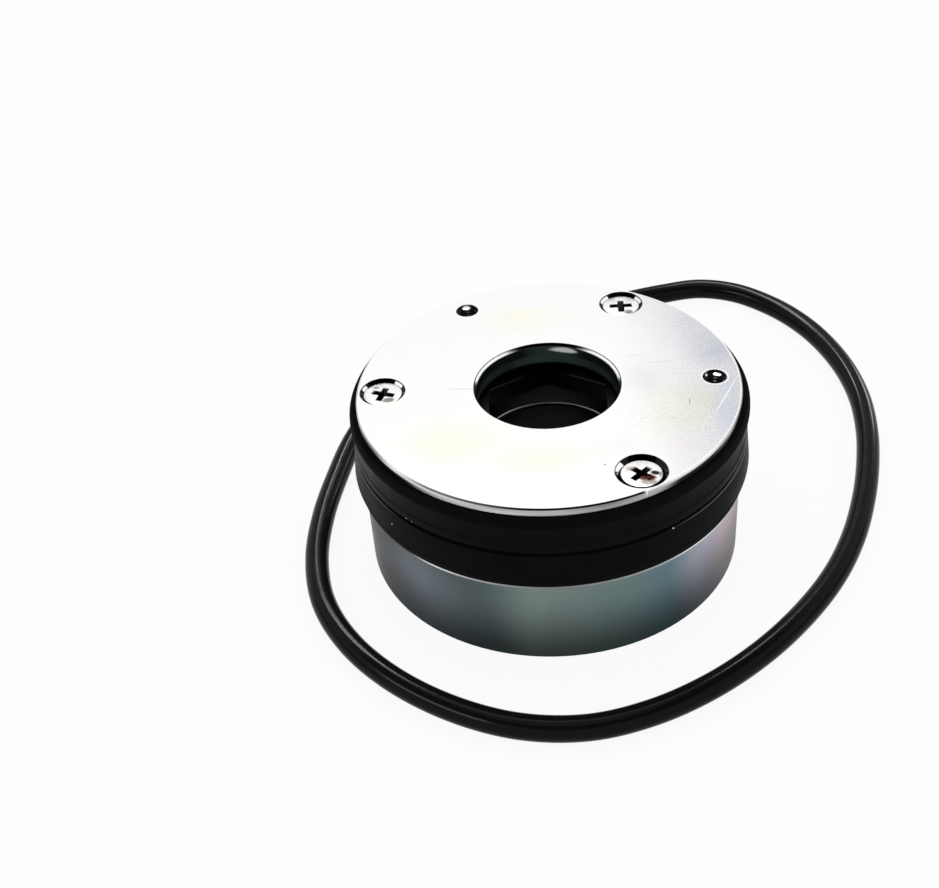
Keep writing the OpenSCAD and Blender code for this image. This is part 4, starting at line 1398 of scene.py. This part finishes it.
class BRAKE_OT_stage(Operator):
    """The pale floor, the soft lights and the camera at the photograph's angle"""

    bl_idname = "brake.stage"
    bl_label = "Stage"

    def execute(self, context):
        stage = context.scene.brake_stage
        self.camera(context.scene, stage.lens)
        self.floor(stage)
        self.world(context.scene, stage.fill)
        self.lamp("key_box", -6, 66, (0.5, 0.3), stage.key)
        self.gleams(stage.gleam)
        self.tent()
        context.scene.view_settings.view_transform = "Standard"
        return {"FINISHED"}

    def camera(self, scene, lens):
        """Camera aimed at the origin, then turned a little to frame the lead."""
        stand = Vector((0, -208.51, 182.96)) * MM
        turn = Euler([math.radians(a) for a in (3.37, 3.44, -2.28)], "XYZ").to_matrix()
        back = stand.normalized()
        right = Vector((1, 0, 0))
        up = back.cross(right)
        aim = Matrix((right, up, back)).transposed() @ turn
        data = bpy.data.cameras.new("camera")
        data.sensor_width = 36
        data.lens = lens
        data.clip_start = 0.01
        data.clip_end = 20
        camera = new_object("camera", data)
        camera.matrix_world = Matrix.Translation(stand) @ aim.to_4x4()
        scene.camera = camera

    def floor(self, stage):
        """Pale floor, nearly white to the camera, which keeps the brake's shadow."""
        bm = bmesh.new()
        bmesh.ops.create_circle(bm, cap_ends=True, segments=128, radius=FLOOR_R)
        floor = new_object("floor", mesh_of(bm, "floor"))
        material, tree, shader = start("floor_card", tuple(stage.floor), 0.0, 0.9)
        shader.inputs["Specular IOR Level"].default_value = 0.0
        white = add(tree, "ShaderNodeEmission", Color=(1, 1, 1, 1), Strength=1.0)
        share = combine(tree, "MULTIPLY", seen(tree), 0.92)
        both = add(tree, "ShaderNodeMixShader")
        give(tree, both.inputs[0], share)
        give(tree, both.inputs[1], shader.outputs["BSDF"])
        give(tree, both.inputs[2], white.outputs["Emission"])
        tree.links.new(both.outputs["Shader"], tree.nodes["Material Output"].inputs["Surface"])
        floor.data.materials.append(material)

    def world(self, scene, fill):
        """White where it is seen or mirrored, and a dimmer fill light on everything else."""
        world = bpy.data.worlds.new("studio")
        scene.world = world
        world.use_nodes = True
        tree = world.node_tree
        background = tree.nodes["Background"]
        background.inputs["Color"].default_value = (1, 1, 1, 1)
        strength = span(tree, seen(tree), 0.0, 1.0, fill, 1.0, smooth=False)
        tree.links.new(strength, background.inputs["Strength"])

    def lamp(self, name, azimuth, elevation, size, power):
        """Area light aimed at the brake. Its azimuth turns from +Y towards +X."""
        data = bpy.data.lights.new(name, "AREA")
        data.shape = "RECTANGLE"
        data.energy = power
        data.size, data.size_y = size
        made = new_object(name, data)
        across = math.cos(math.radians(elevation))
        aside = math.radians(azimuth)
        made.location = LAMP_AWAY * Vector((
            across * math.sin(aside), across * math.cos(aside), math.sin(math.radians(elevation))))
        made.rotation_euler = (-made.location).to_track_quat("-Z", "Y").to_euler()
        return made

    def gleams(self, radiance):
        """Small bright lights for one black piece each, which the bright metal does not need."""
        for name, azimuth, elevation, size, share, target in [
                ("gleam_strip", -8, 50, (0.46, 0.12), 0.32, "lead_sheath_run"),
                ("gleam_left", -10, 38, (0.07, 0.10), 0.42, "lead_sheath_run"),
                ("gleam_right", 40, 13, (0.16, 0.10), 0.15, "lead_sheath_run"),
                ("gleam_low", -122, 33, (0.5, 0.10), 0.15, "lead_sheath_run"),
                ("ridge_left", -80, 14, (0.5, 0.15), 0.1, "moulded_cover_ring"),
                ("ridge_right", 80, 14, (0.5, 0.15), 0.125, "moulded_cover_ring"),
                ("thread_gleam", 180, 60, (0.2, 0.2), 0.5, "tapped_threads")]:
            power = share * radiance * math.pi * size[0] * size[1]
            made = self.lamp(name, azimuth, elevation, size, power)
            lit = bpy.data.collections.new(name)
            lit.objects.link(bpy.data.objects[target])
            made.light_linking.receiver_collection = lit

    def tent(self):
        """Black dome with openings, which only mirrored rays see."""
        bm = bmesh.new()
        bmesh.ops.create_uvsphere(bm, u_segments=120, v_segments=60, radius=TENT_R)
        opened = [face for face in bm.faces if is_open(face.calc_center_median())]
        bmesh.ops.delete(bm, geom=opened, context="FACES")
        dome = new_object("black_tent", mesh_of(bm, "black_tent"))
        material, tree, shader = start("black_cloth", (0.006, 0.006, 0.006), 0.0, 1.0)
        shader.inputs["Specular IOR Level"].default_value = 0.0
        dome.data.materials.append(material)
        dome.visible_camera = False
        dome.visible_diffuse = False
        dome.visible_shadow = False
        dome.visible_transmission = False


def is_open(point):
    """Whether the tent is open there. Azimuths turn from +Y towards +X."""
    azimuth = math.degrees(math.atan2(point.x, point.y))
    elevation = math.degrees(math.asin(point.z / point.length))
    if elevation < TENT_FOOT:
        return True
    for middle, height, half_w, half_h in TENT_OPENINGS:
        aside = (azimuth - middle + 180) % 360 - 180
        if abs(aside) < half_w and abs(elevation - height) < half_h:
            return True
    return False


def seen(tree):
    """1 for rays from the camera, a mirror or glass, and 0 for the rest."""
    path = add(tree, "ShaderNodeLightPath").outputs
    mirrored = combine(tree, "MAXIMUM", path["Is Glossy Ray"], path["Is Transmission Ray"])
    return combine(tree, "MAXIMUM", path["Is Camera Ray"], mirrored)


class BRAKE_PT_panel(Panel):
    """Sizes, colours and pieces of the brake"""

    bl_label = "Motor Brake"
    bl_idname = "BRAKE_PT_panel"
    bl_space_type = "VIEW_3D"
    bl_region_type = "UI"
    bl_category = "Brake"

    def draw(self, context):
        layout = self.layout
        for group in [context.scene.brake_sizes, context.scene.brake_finish,
                      context.scene.brake_stage]:
            column = layout.box().column()
            for name in group.bl_rna.properties.keys():
                if name not in ("rna_type", "name"):
                    column.prop(group, name)
        for piece_operator in PIECES:
            layout.operator(piece_operator.bl_idname)


PIECES = [BRAKE_OT_lead, BRAKE_OT_cover_ring, BRAKE_OT_end_plate, BRAKE_OT_plate_screws,
          BRAKE_OT_magnet_body, BRAKE_OT_rotor, BRAKE_OT_torque_springs, BRAKE_OT_coil,
          BRAKE_OT_stage]
CLASSES = [BrakeSizes, BrakeFinish, BrakeStage, BRAKE_PT_panel] + PIECES


def register():
    """Adds the brake's classes and settings."""
    for cls in CLASSES:
        bpy.utils.register_class(cls)
    bpy.types.Scene.brake_sizes = PointerProperty(type=BrakeSizes)
    bpy.types.Scene.brake_finish = PointerProperty(type=BrakeFinish)
    bpy.types.Scene.brake_stage = PointerProperty(type=BrakeStage)


def unregister():
    """Takes the brake's settings and classes out again."""
    del bpy.types.Scene.brake_stage
    del bpy.types.Scene.brake_finish
    del bpy.types.Scene.brake_sizes
    for cls in reversed(CLASSES):
        bpy.utils.unregister_class(cls)


def main():
    """Dresses the brake and sets its stage."""
    register()
    bpy.ops.brake.lead()
    bpy.ops.brake.cover_ring()
    bpy.ops.brake.end_plate()
    bpy.ops.brake.plate_screws()
    bpy.ops.brake.magnet_body()
    bpy.ops.brake.rotor()
    bpy.ops.brake.torque_springs()
    bpy.ops.brake.coil()
    bpy.ops.brake.stage()


if __name__ == "__main__":
    main()
